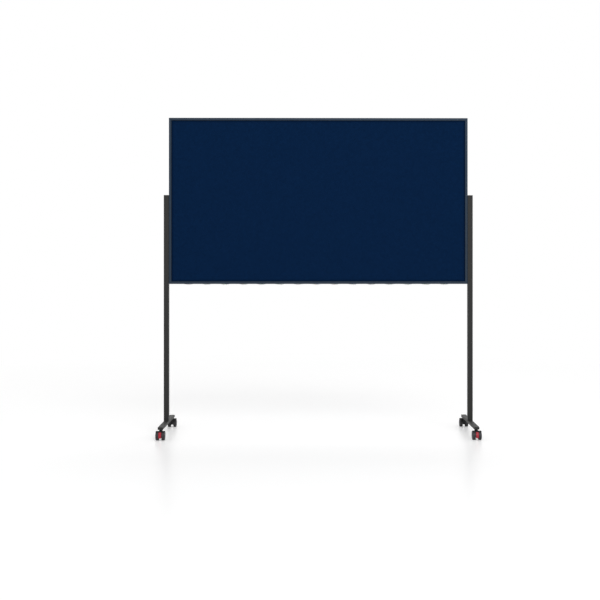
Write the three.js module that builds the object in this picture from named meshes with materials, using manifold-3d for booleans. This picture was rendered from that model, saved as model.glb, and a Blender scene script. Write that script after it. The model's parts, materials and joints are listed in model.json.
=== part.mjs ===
// Rolling partition: a felt pinboard in a mitred aluminium frame, bolted between two posts
// that stand on foot beams with twin-wheel swivel casters.
// Millimetres, +Z up. X runs across the board, the viewer stands at -Y, and the origin is
// on the floor under the middle of the board. Left and right are as the viewer sees them.

import * as THREE from "three";
import { mergeVertices } from "three/addons/utils/BufferGeometryUtils.js";
import Module from "manifold-3d";

const wasm = await Module();
wasm.setup();

// ---------------------------------------------------------------- driving dimensions

const GAP = 0.3; // clearance between pieces that touch
const RUNNING_PLAY = 0.4; // radial clearance of a piece that turns on a pin

// Board: core with felt on both faces, held in the slots of four mitred rails.
const BOARD_WIDTH = 1800;
const BOARD_HEIGHT = 1000;
const BOARD_BOTTOM = 900; // height above the floor
const CORE_THICKNESS = 12;
const FELT_THICKNESS = 3;
const RAIL_SKIN = 1.5; // walls that run along the rail's outer edge and behind its chamber
const RAIL_CHAMBER = 5; // height of the hollow that holds the corner keys
const RAIL_LIP = 2.4; // front and back walls
const PANEL_ENTRY = 7; // how far the lips reach over the felt
const PANEL_PLAY = 1; // room between the panel's edge and the slot's floor
const KEY_LEG = 60;

// Clip strip: rounded lips that hang through a slot in the bottom rail.
const LIP_PITCH = 110.3;
const FIRST_LIP = 116.4; // from the board's left edge
const LIP_WIDTH = 54;
const LIP_DROP = 5; // below the rail
const STRIP_THICKNESS = 2.4;
const STRIP_HEAD_WIDTH = 8;
const STRIP_HEAD_HEIGHT = 1.5;

// Posts: square tubes with a plastic cap on top and a threaded insert in the foot.
const POST_TOP = 1435;
const POST_WIDTH = 30;
const POST_DEPTH = 30;
const POST_CORNER = 2;
const TUBE_WALL = 2;
const BOARD_TO_POST = 0.6;
const CAP_THICKNESS = 3;
const CAP_PLUG = 15;
const INSERT_HEIGHT = 40;

// Foot beams: flat tubes that run front to back under the posts.
const BEAM_LENGTH = 500; // over the end caps
const BEAM_WIDTH = POST_WIDTH; // flush with the post's sides
const BEAM_HEIGHT = 15;
const BEAM_CORNER = 1.5;
const END_PLUG = 42;

// M6 socket head bolts and the plugs that close their access holes.
const BOLT_RADIUS = 3;
const BOLT_HEAD_RADIUS = 5;
const BOLT_HEAD_HEIGHT = 5;
const BOLT_SOCKET_RADIUS = 2.4;
const ACCESS_PLAY = 0.8;
const BASE_BOLT_SPACING = 15;
const BASE_BOLT_ENTRY = 24; // thread length in the post's insert
const LOWER_BOLT_RISE = 120; // above the board's bottom edge
const UPPER_BOLT_DROP = 60; // below the post's top
const PLUG_SINK = 0.2; // how far the plug lies below the post's face
const PLUG_RIDGE = 0.5; // how far its snap ridge stands out past the hole, behind the wall
const PLUG_RIDGE_HEIGHT = 0.8;

// Casters: two wheels on one axle, either side of a hood that swivels on a stem and whose
// guard covers their tops.
const WHEEL_DIAMETER = 50;
const WHEEL_TREAD = 17.2; // width of the tread
const WHEEL_BULGE = 3; // how far the outer disc's crown stands past the tread
const WHEEL_SHOULDER = 1.2;
const WHEEL_DISC_RINGS = [1, 0.75, 0.4, 0]; // shares of the outer disc's radius
const WHEEL_FACETS = 24;
const WHEEL_RIM = 4.5;
const WHEEL_RECESS = 5.5; // depth of the ring-shaped hollow between hub and rim
const HUB_RADIUS = 8;
const AXLE_RADIUS = 3;
const AXLE_ENTRY = 15; // into each wheel
const HOOD_WIDTH = 15.2;
const HOOD_TO_WHEEL = 0.9;
const TRAIL = 20; // stem axis to axle
const STEM_INSET = 24; // beam end to stem axis
const NECK_HEIGHT = 10; // wheel top to beam
const STEM_RADIUS = 4;
const STEM_FLANGE_RADIUS = 9;
const STEM_FLANGE_THICKNESS = 3.2;
const STEM_DEPTH = 22; // into the hood
const COLLAR_RADIUS = 10;
const COLLAR_SINK = 3; // collar's lower edge below the wheel top
const HOOD_BELOW_AXLE = 8.5;
const HOOD_INSIDE_TREAD = 1; // how far the hood stays inside the wheels' outline
const GUARD_PLAY = 1.3; // from the tread to the guard over it
const GUARD_THICKNESS = 2.2;
const GUARD_TAIL = 32; // degrees from the vertical through the axle, on the trailing side
const GUARD_FRONT = 75; // degrees from the vertical through the axle, on the stem's side
const GUARD_ROOT = 1; // how far the guard's rib reaches into the web

// Brake lever of the front casters.
const LEVER_PROUD = 3.5; // in front of the tread
const LEVER_TOP = 38; // degrees from the vertical through the axle
const LEVER_BOTTOM = 113; // degrees from the vertical through the axle
const LEVER_TOP_EDGE = 2; // degrees that the pedal's upper edge slopes over
const LEVER_TRAVEL = 10; // degrees
const LEVER_PLAY = 0.5;
const LEVER_ARM_WIDTH = 6;
const LEVER_ARM_DROP = 6; // degrees that the arm's front end reaches below the pivot
const LEVER_ARM_BITE = 1; // how far the arm reaches into the pedal
const PIVOT_AHEAD = 10.5; // of the stem axis
const PIVOT_DROP = 8; // below the wheel top
const PIVOT_RADIUS = 1.5;
const PIVOT_BOSS = 3.2;
const LEVER_PAST_AXLE = 5.5; // how far the pedal's back clears the axle, from the pivot
const LEVER_BACK_END = 34; // degrees below the horizontal through the pivot
const SWING_MARGIN = 6; // degrees of free room past the lever's travel
const SWING_TOP = 13; // degrees above the horizontal through the pivot
const BRAKED_HOOD_INSIDE_TREAD = 6.5;
const BRAKE_PAD_RADIUS = 1.3;
const BRAKE_PAD_LENGTH = 4;

// ---------------------------------------------------------------- derived dimensions

const RAIL_FACE = 2 * RAIL_SKIN + RAIL_CHAMBER + PANEL_ENTRY;
const SLOT_FLOOR = RAIL_FACE - PANEL_ENTRY;
const FELT_FRONT = CORE_THICKNESS / 2 + GAP + FELT_THICKNESS; // from the board's mid plane
const SLOT_HALF = FELT_FRONT + GAP;
const RAIL_DEPTH = 2 * (SLOT_HALF + RAIL_LIP);
const BOARD_MIDDLE = BOARD_BOTTOM + BOARD_HEIGHT / 2;
const PANEL_EDGE = SLOT_FLOOR + PANEL_PLAY;

const WHEEL_RADIUS = WHEEL_DIAMETER / 2;
const BEAM_BOTTOM = WHEEL_DIAMETER + NECK_HEIGHT;
const BEAM_TOP = BEAM_BOTTOM + BEAM_HEIGHT;
const STEM_TOP = BEAM_TOP - TUBE_WALL - 2 * GAP;
const POST_X = BOARD_WIDTH / 2 + BOARD_TO_POST + POST_WIDTH / 2;
const STEM_Y = BEAM_LENGTH / 2 - STEM_INSET;

const BOLT_HOLE = BOLT_RADIUS + GAP;
const ACCESS_HOLE = BOLT_HEAD_RADIUS + ACCESS_PLAY;
const WHEEL_INNER = HOOD_WIDTH / 2 + HOOD_TO_WHEEL;
const COLLAR_TOP = BEAM_BOTTOM - STEM_FLANGE_THICKNESS - 2 * GAP;
const AXLE = { y: -TRAIL, z: WHEEL_RADIUS };
const PIVOT = { y: -PIVOT_AHEAD, z: WHEEL_DIAMETER - PIVOT_DROP };
const AXLE_HALF = WHEEL_INNER + AXLE_ENTRY;
const LEVER_BACK = Math.hypot(TRAIL - PIVOT_AHEAD, PIVOT.z - AXLE.z) + LEVER_PAST_AXLE;

// ---------------------------------------------------------------- materials

const material = (color, roughness, metalness) =>
  new THREE.MeshStandardMaterial({ color, roughness, metalness });
const ANTHRACITE = () => material(0x383c44, 0.45, 0.4);
const POST_COAT = () => material(0x3a3a39, 0.5, 0.3);
const FELT = () => material(0x08203f, 0.95, 0);
const FIBREBOARD = () => material(0x8a6f4d, 0.9, 0);
const BLACK_PLASTIC = () => material(0x1e1f20, 0.5, 0);
const WHEEL_PLASTIC = () => material(0x3a3a3b, 0.55, 0);
const RED_PLASTIC = () => material(0xa01c2c, 0.4, 0);
const PALE_PLASTIC = () => material(0xc4c5c4, 0.45, 0);
const STEEL = () => material(0xa8aaac, 0.35, 0.9);
const CAST_ALUMINIUM = () => material(0x9b9d9f, 0.5, 0.8);

// ---------------------------------------------------------------- solids

// A three.js geometry as a solid that can be joined and cut.
function solid(geometry) {
  const bare = geometry.clone();
  bare.deleteAttribute("normal");
  bare.deleteAttribute("uv");
  const merged = mergeVertices(bare, 1e-4);
  const mesh = new wasm.Mesh({
    numProp: 3,
    vertProperties: merged.attributes.position.array,
    triVerts: new Uint32Array(merged.index.array),
  });
  return new wasm.Manifold(mesh);
}

// A solid back as a three.js geometry.
function geometryOf(made) {
  const { vertProperties, triVerts } = made.getMesh();
  const geometry = new THREE.BufferGeometry();
  geometry.setAttribute("position", new THREE.BufferAttribute(vertProperties, 3));
  geometry.setIndex(new THREE.BufferAttribute(triVerts, 1));
  geometry.computeVertexNormals();
  return geometry;
}

function join(first, others) {
  return others.reduce((made, other) => made.add(solid(other)), solid(first));
}

function cut(first, others) {
  return others.reduce((made, other) => made.subtract(solid(other)), solid(first));
}

// How an extrusion along each axis is turned: where its shape's two axes and its length go.
const X = new THREE.Vector3(1, 0, 0);
const Y = new THREE.Vector3(0, 1, 0);
const Z = new THREE.Vector3(0, 0, 1);
const TURNS = {
  x: new THREE.Matrix4().makeBasis(Y, Z, X), // a shape in (y, z)
  y: new THREE.Matrix4().makeBasis(X, Z, Y.clone().negate()), // a shape in (x, z)
  z: new THREE.Matrix4().makeBasis(X, Y, Z), // a shape in (x, y)
};

// A shape extruded along an axis and centred on it.
function extrude(shape, length, axis, curveSegments = 4) {
  const geometry = new THREE.ExtrudeGeometry(shape, {
    depth: length,
    bevelEnabled: false,
    curveSegments,
  });
  geometry.translate(0, 0, -length / 2);
  return geometry.applyMatrix4(TURNS[axis]);
}

function polygon(points) {
  return new THREE.Shape(points.map(([u, v]) => new THREE.Vector2(u, v)));
}

function rectangle(left, bottom, right, top) {
  return polygon([
    [left, bottom],
    [right, bottom],
    [right, top],
    [left, top],
  ]);
}

function roundedRectangle(width, height, radius) {
  const u = width / 2 - radius;
  const v = height / 2 - radius;
  const shape = new THREE.Shape();
  shape.absarc(u, v, radius, 0, Math.PI / 2);
  shape.absarc(-u, v, radius, Math.PI / 2, Math.PI);
  shape.absarc(-u, -v, radius, Math.PI, 1.5 * Math.PI);
  shape.absarc(u, -v, radius, 1.5 * Math.PI, 2 * Math.PI);
  return shape;
}

// A round rod along an axis, from one coordinate to another on that axis.
function rod(radius, from, to, axis, facets = 16) {
  const geometry = new THREE.CylinderGeometry(radius, radius, Math.abs(to - from), facets);
  geometry.translate(0, (from + to) / 2, 0);
  if (axis === "x") geometry.rotateZ(-Math.PI / 2);
  if (axis === "z") geometry.rotateX(Math.PI / 2);
  return geometry;
}

const box = (width, depth, height) => new THREE.BoxGeometry(width, depth, height);
const at = (geometry, x, y, z) => geometry.translate(x, y, z);
const degrees = THREE.MathUtils.degToRad;

function piece(name, geometry, finish) {
  const mesh = new THREE.Mesh(geometry, finish);
  mesh.name = name;
  return mesh;
}

// ---------------------------------------------------------------- board

// A rail lies along X with its outer edge at z = 0 and its slot facing +Z.
function railBody(length) {
  const section = rectangle(-RAIL_DEPTH / 2, 0, RAIL_DEPTH / 2, RAIL_FACE);
  const chamberTop = RAIL_SKIN + RAIL_CHAMBER;
  section.holes.push(rectangle(-SLOT_HALF, RAIL_SKIN, SLOT_HALF, chamberTop));
  const slot = at(box(length, 2 * SLOT_HALF, 2 * PANEL_ENTRY), 0, 0, RAIL_FACE);
  const half = length / 2 - GAP / 2;
  const mitre = polygon([
    [-half, 0],
    [half, 0],
    [half - RAIL_FACE, RAIL_FACE],
    [RAIL_FACE - half, RAIL_FACE],
  ]);
  return solid(extrude(section, length, "x"))
    .subtract(solid(slot))
    .intersect(solid(extrude(mitre, 2 * RAIL_DEPTH, "y")));
}

function rail(name, length, turn, x, z, cuts = []) {
  const made = cuts.reduce((body, hole) => body.subtract(solid(hole)), railBody(length));
  const mesh = piece(name, geometryOf(made), ANTHRACITE());
  mesh.rotation.y = turn;
  mesh.position.set(x, 0, z);
  return mesh;
}

// Where the strip's lips hang, along X, and where the strip ends, clear of the corner keys.
function lipPlaces() {
  const count = Math.floor((BOARD_WIDTH - 2 * FIRST_LIP) / LIP_PITCH) + 1;
  return Array.from({ length: count }, (_, i) => FIRST_LIP - BOARD_WIDTH / 2 + i * LIP_PITCH);
}

function stripEnds() {
  const lips = lipPlaces();
  const farthest = BOARD_WIDTH / 2 - KEY_LEG - GAP;
  return [
    Math.max(lips[0] - LIP_PITCH / 2, -farthest),
    Math.min(lips[lips.length - 1] + LIP_PITCH / 2, farthest),
  ];
}

// The opening in the bottom rail's outer wall that the strip's lips pass through.
function stripSlot() {
  const [left, right] = stripEnds();
  const opening = box(right - left + GAP, STRIP_THICKNESS + 2 * GAP, 2 * RAIL_SKIN);
  return at(opening, (left + right) / 2, 0, RAIL_SKIN / 2);
}

// Clearance holes for the board bolts through a side rail. A side rail's own X axis points
// down on the left and up on the right, and downwards tells which.
function sideBoltHoles(downwards) {
  return boltHeights().map((z) => {
    const hole = rod(BOLT_HOLE, -RAIL_SKIN, SLOT_FLOOR + RAIL_SKIN, "z", 12);
    return at(hole, downwards * (BOARD_MIDDLE - z), 0, 0);
  });
}

function boltHeights() {
  return [BOARD_BOTTOM + LOWER_BOLT_RISE, POST_TOP - UPPER_BOLT_DROP];
}

function frame() {
  const group = new THREE.Group();
  const quarter = Math.PI / 2;
  const edge = BOARD_WIDTH / 2;
  group.add(
    rail("top_rail", BOARD_WIDTH, Math.PI, 0, BOARD_BOTTOM + BOARD_HEIGHT),
    rail("bottom_rail", BOARD_WIDTH, 0, 0, BOARD_BOTTOM, [stripSlot()]),
    rail("left_side_rail", BOARD_HEIGHT, quarter, -edge, BOARD_MIDDLE, sideBoltHoles(1)),
    rail("right_side_rail", BOARD_HEIGHT, -quarter, edge, BOARD_MIDDLE, sideBoltHoles(-1)),
  );
  return group;
}

// An L-shaped key joins two rails at each corner, inside their chambers.
function cornerKeys() {
  const near = RAIL_SKIN + GAP;
  const far = RAIL_SKIN + RAIL_CHAMBER - GAP;
  const outline = polygon([
    [near, near],
    [KEY_LEG, near],
    [KEY_LEG, far],
    [far, far],
    [far, KEY_LEG],
    [near, KEY_LEG],
  ]);
  const depth = 2 * (SLOT_HALF - GAP);
  const corners = [
    ["bottom_left", -1, 0, 0],
    ["bottom_right", 1, 0, -Math.PI / 2],
    ["top_right", 1, 1, Math.PI],
    ["top_left", -1, 1, Math.PI / 2],
  ];
  return corners.map(([corner, side, up, turn]) => {
    const key = piece(corner + "_corner_key", extrude(outline, depth, "y"), CAST_ALUMINIUM());
    key.rotation.y = turn;
    key.position.set((side * BOARD_WIDTH) / 2, 0, BOARD_BOTTOM + up * BOARD_HEIGHT);
    return key;
  });
}

function panel() {
  const width = BOARD_WIDTH - 2 * PANEL_EDGE;
  const height = BOARD_HEIGHT - 2 * PANEL_EDGE;
  const feltMiddle = FELT_FRONT - FELT_THICKNESS / 2;
  const layers = [
    ["board_core", CORE_THICKNESS, 0, FIBREBOARD()],
    ["front_felt", FELT_THICKNESS, -feltMiddle, FELT()],
    ["rear_felt", FELT_THICKNESS, feltMiddle, FELT()],
  ];
  return layers.map(([name, thickness, y, finish]) =>
    piece(name, at(box(width, thickness, height), 0, y, BOARD_MIDDLE), finish),
  );
}

// A T-shaped strip: its head lies in the bottom rail's chamber, its lips hang below.
function clipStrip() {
  const [left, right] = stripEnds();
  const headMiddle = BOARD_BOTTOM + RAIL_SKIN + GAP + STRIP_HEAD_HEIGHT / 2;
  const radius = ((LIP_WIDTH / 2) ** 2 + LIP_DROP ** 2) / (2 * LIP_DROP);
  const halfAngle = Math.asin(LIP_WIDTH / 2 / radius);
  const comb = new THREE.Shape();
  comb.moveTo(left, headMiddle);
  comb.lineTo(left, BOARD_BOTTOM);
  for (const x of lipPlaces()) {
    const z = BOARD_BOTTOM - LIP_DROP + radius;
    comb.absarc(x, z, radius, -Math.PI / 2 - halfAngle, -Math.PI / 2 + halfAngle);
  }
  comb.lineTo(right, BOARD_BOTTOM);
  comb.lineTo(right, headMiddle);
  const head = box(right - left, STRIP_HEAD_WIDTH, STRIP_HEAD_HEIGHT);
  const made = join(extrude(comb, STRIP_THICKNESS, "y", 8), [
    at(head, (left + right) / 2, 0, headMiddle),
  ]);
  return piece("clip_strip", geometryOf(made), PALE_PLASTIC());
}

// ---------------------------------------------------------------- posts

// A tube's section: a rounded rectangle with its hollow.
function tubeSection(width, depth, corner) {
  const section = roundedRectangle(width, depth, corner);
  const inside = Math.max(corner - TUBE_WALL / 2, GAP);
  section.holes.push(
    roundedRectangle(width - 2 * TUBE_WALL, depth - 2 * TUBE_WALL, inside),
  );
  return section;
}

// A post stands at x = 0; board is the direction of the board, 1 or -1 along X.
function post(board) {
  const bottom = BEAM_TOP + GAP;
  const top = POST_TOP - CAP_THICKNESS - GAP;
  const face = POST_WIDTH / 2;
  const section = tubeSection(POST_WIDTH, POST_DEPTH, POST_CORNER);
  const walls = extrude(section, top - bottom, "z", 3);
  const holes = boltHeights().flatMap((z) => [
    at(rod(BOLT_HOLE, 0, board * (face + TUBE_WALL), "x", 12), 0, 0, z),
    at(rod(ACCESS_HOLE, 0, -board * (face + TUBE_WALL), "x", 16), 0, 0, z),
  ]);
  return cut(at(walls, 0, 0, (top + bottom) / 2), holes);
}

function postCap() {
  const inset = 2 * (TUBE_WALL + GAP);
  const outline = roundedRectangle(POST_WIDTH, POST_DEPTH, POST_CORNER);
  const middle = POST_TOP - CAP_THICKNESS / 2;
  const plate = extrude(outline, CAP_THICKNESS, "z", 3);
  const plug = box(POST_WIDTH - inset, POST_DEPTH - inset, CAP_PLUG);
  return join(at(plate, 0, 0, middle), [at(plug, 0, 0, middle - CAP_PLUG / 2)]);
}

// The block in a post's foot that the base bolts screw into.
function postInsert() {
  const inset = 2 * (TUBE_WALL + GAP);
  const bottom = BEAM_TOP + 2 * GAP;
  const block = box(POST_WIDTH - inset, POST_DEPTH - inset, INSERT_HEIGHT);
  const bores = baseBoltPlaces().map((y) =>
    at(rod(BOLT_HOLE, bottom - GAP, bottom + BASE_BOLT_ENTRY + GAP, "z", 12), 0, y, 0),
  );
  return cut(at(block, 0, 0, bottom + INSERT_HEIGHT / 2), bores);
}

// ---------------------------------------------------------------- bolts

function baseBoltPlaces() {
  return [-BASE_BOLT_SPACING / 2, BASE_BOLT_SPACING / 2];
}

// A socket head bolt along +Z with the seat of its head at z = 0.
function bolt(length) {
  const top = -BOLT_HEAD_HEIGHT;
  const socket = rod(BOLT_SOCKET_RADIUS, top - GAP, top / 2, "z", 6);
  const shank = rod(BOLT_RADIUS, top / 2, length, "z", 12);
  return cut(rod(BOLT_HEAD_RADIUS, top, 0, "z"), [socket]).add(solid(shank));
}

// The plug that closes an access hole. It faces +Z, the post's face is at z = 0, and its snap
// ridge lies behind the post's wall.
function holePlug() {
  const ridgeTop = -TUBE_WALL - GAP;
  const ridgeBottom = ridgeTop - PLUG_RIDGE_HEIGHT;
  const stub = rod(ACCESS_HOLE - GAP, ridgeBottom, -PLUG_SINK, "z");
  return join(stub, [rod(ACCESS_HOLE + PLUG_RIDGE, ridgeBottom, ridgeTop, "z")]);
}

// ---------------------------------------------------------------- foot beams

function footBeam() {
  const tubeLength = BEAM_LENGTH - 2 * (CAP_THICKNESS + GAP);
  const section = tubeSection(BEAM_WIDTH, BEAM_HEIGHT, BEAM_CORNER);
  const walls = extrude(section, tubeLength, "y", 3);
  const middle = BEAM_HEIGHT / 2;
  const holes = [-STEM_Y, STEM_Y].map((y) =>
    at(rod(STEM_RADIUS + GAP, -middle - GAP, 0, "z"), 0, y, 0),
  );
  for (const y of baseBoltPlaces()) {
    holes.push(at(rod(BOLT_HOLE, 0, middle + GAP, "z", 12), 0, y, 0));
    holes.push(at(rod(ACCESS_HOLE, -middle - GAP, 0, "z"), 0, y, 0));
  }
  return at(geometryOf(cut(walls, holes)), 0, 0, BEAM_BOTTOM + middle);
}

// An end cap closes the beam's end at +Y. Its plug backs the caster's stem.
function beamEndCap() {
  const inset = 2 * (TUBE_WALL + GAP);
  const middle = BEAM_LENGTH / 2 - CAP_THICKNESS / 2;
  const outline = roundedRectangle(BEAM_WIDTH, BEAM_HEIGHT, BEAM_CORNER);
  const plate = extrude(outline, CAP_THICKNESS, "y", 3);
  const plug = box(BEAM_WIDTH - inset, END_PLUG, BEAM_HEIGHT - inset);
  const bore = rod(STEM_RADIUS + GAP, -BEAM_HEIGHT, BEAM_HEIGHT, "z");
  const made = join(at(plate, 0, middle, 0), [at(plug, 0, middle - END_PLUG / 2, 0)]);
  const bored = made.subtract(solid(at(bore, 0, STEM_Y, 0)));
  return at(geometryOf(bored), 0, 0, BEAM_BOTTOM + BEAM_HEIGHT / 2);
}

// ---------------------------------------------------------------- casters
// A caster is drawn with its stem axis at x = y = 0 and its wheels trailing towards -Y.

function stem() {
  const flangeTop = BEAM_BOTTOM - GAP;
  const flangeBottom = flangeTop - STEM_FLANGE_THICKNESS;
  const pin = rod(STEM_RADIUS, COLLAR_TOP - STEM_DEPTH, STEM_TOP, "z");
  return join(rod(STEM_FLANGE_RADIUS, flangeBottom, flangeTop, "z", 6), [pin]);
}

// The hood's side view. It follows the wheels from the arch below round to the top, inset
// from their tread, and runs up into the collar.
function hoodOutline(inset) {
  const tail = WHEEL_RADIUS - inset;
  const bottom = AXLE.z - HOOD_BELOW_AXLE;
  const top = WHEEL_DIAMETER - COLLAR_SINK / 2;
  const arch = Math.PI + Math.asin(HOOD_BELOW_AXLE / tail);
  const shape = new THREE.Shape();
  shape.moveTo(COLLAR_RADIUS, top);
  shape.lineTo(COLLAR_RADIUS, AXLE.z + HOOD_BELOW_AXLE);
  shape.lineTo(0, bottom);
  shape.absarc(AXLE.y, AXLE.z, tail, arch, Math.PI / 2, true);
  shape.lineTo(-COLLAR_RADIUS, top);
  return shape;
}

function crossRod(radius, reach, centre, facets = 12) {
  return at(rod(radius, -reach, reach, "x", facets), 0, centre.y, centre.z);
}

// A curved strip about the axle, over the guard's length.
function guardStrip(inner, outer, width) {
  const start = degrees(90 - GUARD_FRONT);
  const end = degrees(90 + GUARD_TAIL);
  const strip = new THREE.Shape();
  strip.absarc(AXLE.y, AXLE.z, outer, start, end);
  strip.absarc(AXLE.y, AXLE.z, inner, end, start, true);
  return extrude(strip, width, "x", 14);
}

// The guard over both wheels' treads, and the rib between the wheels that carries it.
function wheelGuard(inset) {
  const inner = WHEEL_RADIUS + GUARD_PLAY;
  const root = WHEEL_RADIUS - inset - GUARD_ROOT;
  return [
    guardStrip(inner, inner + GUARD_THICKNESS, 2 * (WHEEL_INNER + WHEEL_TREAD)),
    guardStrip(root, inner + GUARD_THICKNESS / 2, HOOD_WIDTH),
  ];
}

function hoodBody(inset) {
  const web = extrude(hoodOutline(inset), HOOD_WIDTH, "x", 16);
  const collar = rod(COLLAR_RADIUS, WHEEL_DIAMETER - COLLAR_SINK, COLLAR_TOP, "z", 20);
  const boreBottom = COLLAR_TOP - STEM_DEPTH - GAP;
  return join(web, [collar, ...wheelGuard(inset)])
    .subtract(solid(rod(STEM_RADIUS + RUNNING_PLAY, boreBottom, BEAM_BOTTOM, "z")))
    .subtract(solid(crossRod(AXLE_RADIUS + GAP, HOOD_WIDTH, AXLE)));
}

// A point of the side view, at a radius and an angle in degrees about a centre.
function polar(centre, radius, angle) {
  const turn = degrees(angle);
  return [centre.y + radius * Math.cos(turn), centre.z + radius * Math.sin(turn)];
}

// The room that the pedal sweeps in front of the braked hood.
function pedalRoom() {
  const far = 2 * WHEEL_DIAMETER;
  const highest = 180 - SWING_TOP;
  const lowest = 180 + LEVER_BACK_END + LEVER_TRAVEL + SWING_MARGIN;
  const room = new THREE.Shape();
  room.absarc(PIVOT.y, PIVOT.z, LEVER_BACK - LEVER_PLAY, degrees(highest), degrees(lowest));
  room.lineTo(...polar(PIVOT, far, lowest));
  room.lineTo(...polar(PIVOT, far, highest));
  return extrude(room, 2 * HOOD_WIDTH, "x", 12);
}

// The slot that the lever's arm moves in.
function armSlot() {
  const eye = PIVOT_BOSS + RUNNING_PLAY;
  const reach = LEVER_BACK + LEVER_PROUD;
  const slot = polygon([
    [PIVOT.y + eye, PIVOT.z - eye],
    polar(PIVOT, reach, 180 + LEVER_ARM_DROP + LEVER_TRAVEL + SWING_MARGIN / 2),
    polar(PIVOT, reach, 180 - SWING_TOP),
    [PIVOT.y + eye, PIVOT.z + eye],
  ]);
  return extrude(slot, LEVER_ARM_WIDTH + 2 * RUNNING_PLAY, "x");
}

function brakedHood() {
  return [pedalRoom(), armSlot(), crossRod(PIVOT_RADIUS + GAP, HOOD_WIDTH, PIVOT)].reduce(
    (hood, room) => hood.subtract(solid(room)),
    hoodBody(BRAKED_HOOD_INSIDE_TREAD),
  );
}

// The lever's pedal wraps the front of the wheels, its arm runs back to the pivot, and two
// pads reach sideways into the wheels' hollows.
function brakeLever() {
  const outer = WHEEL_RADIUS + LEVER_PROUD;
  const top = 90 + LEVER_TOP;
  const pedal = new THREE.Shape();
  pedal.absarc(AXLE.y, AXLE.z, outer, degrees(top), degrees(90 + LEVER_BOTTOM));
  pedal.absarc(PIVOT.y, PIVOT.z, LEVER_BACK, degrees(180 + LEVER_BACK_END), Math.PI, true);
  pedal.lineTo(...polar(AXLE, WHEEL_RADIUS, top + LEVER_TOP_EDGE));
  const arm = polygon([
    [PIVOT.y, PIVOT.z + PIVOT_BOSS],
    polar(AXLE, WHEEL_RADIUS + LEVER_PROUD / 2, top + LEVER_TOP_EDGE / 2),
    polar(PIVOT, LEVER_BACK + LEVER_ARM_BITE, 180),
    polar(PIVOT, LEVER_BACK + LEVER_ARM_BITE, 180 + LEVER_ARM_DROP),
    [PIVOT.y, PIVOT.z - PIVOT_BOSS],
  ]);
  const [padY, padZ] = polar(PIVOT, LEVER_BACK + BRAKE_PAD_RADIUS, 180 + LEVER_BACK_END);
  const padReach = HOOD_WIDTH / 2 + BRAKE_PAD_LENGTH;
  return join(extrude(pedal, HOOD_WIDTH, "x", 14), [
    extrude(arm, LEVER_ARM_WIDTH, "x"),
    crossRod(PIVOT_BOSS, LEVER_ARM_WIDTH / 2, PIVOT, 16),
    crossRod(BRAKE_PAD_RADIUS, padReach, { y: padY, z: padZ }, 8),
  ]).subtract(solid(crossRod(PIVOT_RADIUS + RUNNING_PLAY, HOOD_WIDTH, PIVOT)));
}

// A wheel turns about X. Its hub face is at x = 0 and its outer disc bulges towards +X.
// The tread's facets touch the wheel's true circle, so that the wheel stands on a facet.
function wheel() {
  const tread = WHEEL_RADIUS / Math.cos(Math.PI / WHEEL_FACETS);
  const rim = tread - WHEEL_RIM;
  const shoulder = tread - WHEEL_SHOULDER;
  const bore = AXLE_RADIUS + RUNNING_PLAY;
  const boreEnd = AXLE_ENTRY + GAP;
  const disc = WHEEL_DISC_RINGS.map((share) => [
    shoulder * share,
    WHEEL_TREAD + WHEEL_BULGE * (1 - share ** 2),
  ]);
  const profile = [
    [0, boreEnd],
    [bore, boreEnd],
    [bore, 0],
    [HUB_RADIUS, 0],
    [HUB_RADIUS, WHEEL_RECESS],
    [rim, WHEEL_RECESS],
    [rim, 0],
    [shoulder, 0],
    [tread, WHEEL_SHOULDER],
    [tread, WHEEL_TREAD - WHEEL_SHOULDER],
    ...disc,
  ].map(([radius, along]) => new THREE.Vector2(radius, along));
  const turned = new THREE.LatheGeometry(profile, WHEEL_FACETS, Math.PI / WHEEL_FACETS);
  return turned.rotateZ(-Math.PI / 2);
}

// Both wheels on their axle. plusX and minusX name the wheels on either side.
function wheelPair(name, plusX, minusX) {
  const pair = new THREE.Group();
  pair.position.set(0, AXLE.y, AXLE.z);
  const axle = rod(AXLE_RADIUS, -AXLE_HALF, AXLE_HALF, "x", 12);
  pair.add(piece(`${name}_caster_axle`, axle, STEEL()));
  for (const [side, sign] of [[plusX, 1], [minusX, -1]]) {
    const turning = piece(`${name}_${side}_wheel`, wheel(), WHEEL_PLASTIC());
    turning.rotation.z = sign > 0 ? 0 : Math.PI;
    turning.position.x = sign * WHEEL_INNER;
    pair.add(turning);
  }
  return pair;
}

// A front caster trails forwards and has a brake. A rear caster trails backwards, so it is
// turned half a turn, which swaps its wheels' sides.
function caster(name, front) {
  const group = new THREE.Group();
  group.rotation.z = front ? 0 : Math.PI;
  group.position.y = front ? -STEM_Y : STEM_Y;
  const hood = front ? brakedHood() : hoodBody(HOOD_INSIDE_TREAD);
  group.add(
    piece(`${name}_caster_stem`, geometryOf(stem()), STEEL()),
    piece(`${name}_caster_hood`, geometryOf(hood), BLACK_PLASTIC()),
    front ? wheelPair(name, "right", "left") : wheelPair(name, "left", "right"),
  );
  if (front) {
    const pin = crossRod(PIVOT_RADIUS, HOOD_WIDTH / 2 - GAP, PIVOT);
    group.add(
      piece(`${name}_brake_lever`, geometryOf(brakeLever()), RED_PLASTIC()),
      piece(`${name}_lever_pin`, pin, STEEL()),
    );
  }
  return group;
}

// ---------------------------------------------------------------- assembly

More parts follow.
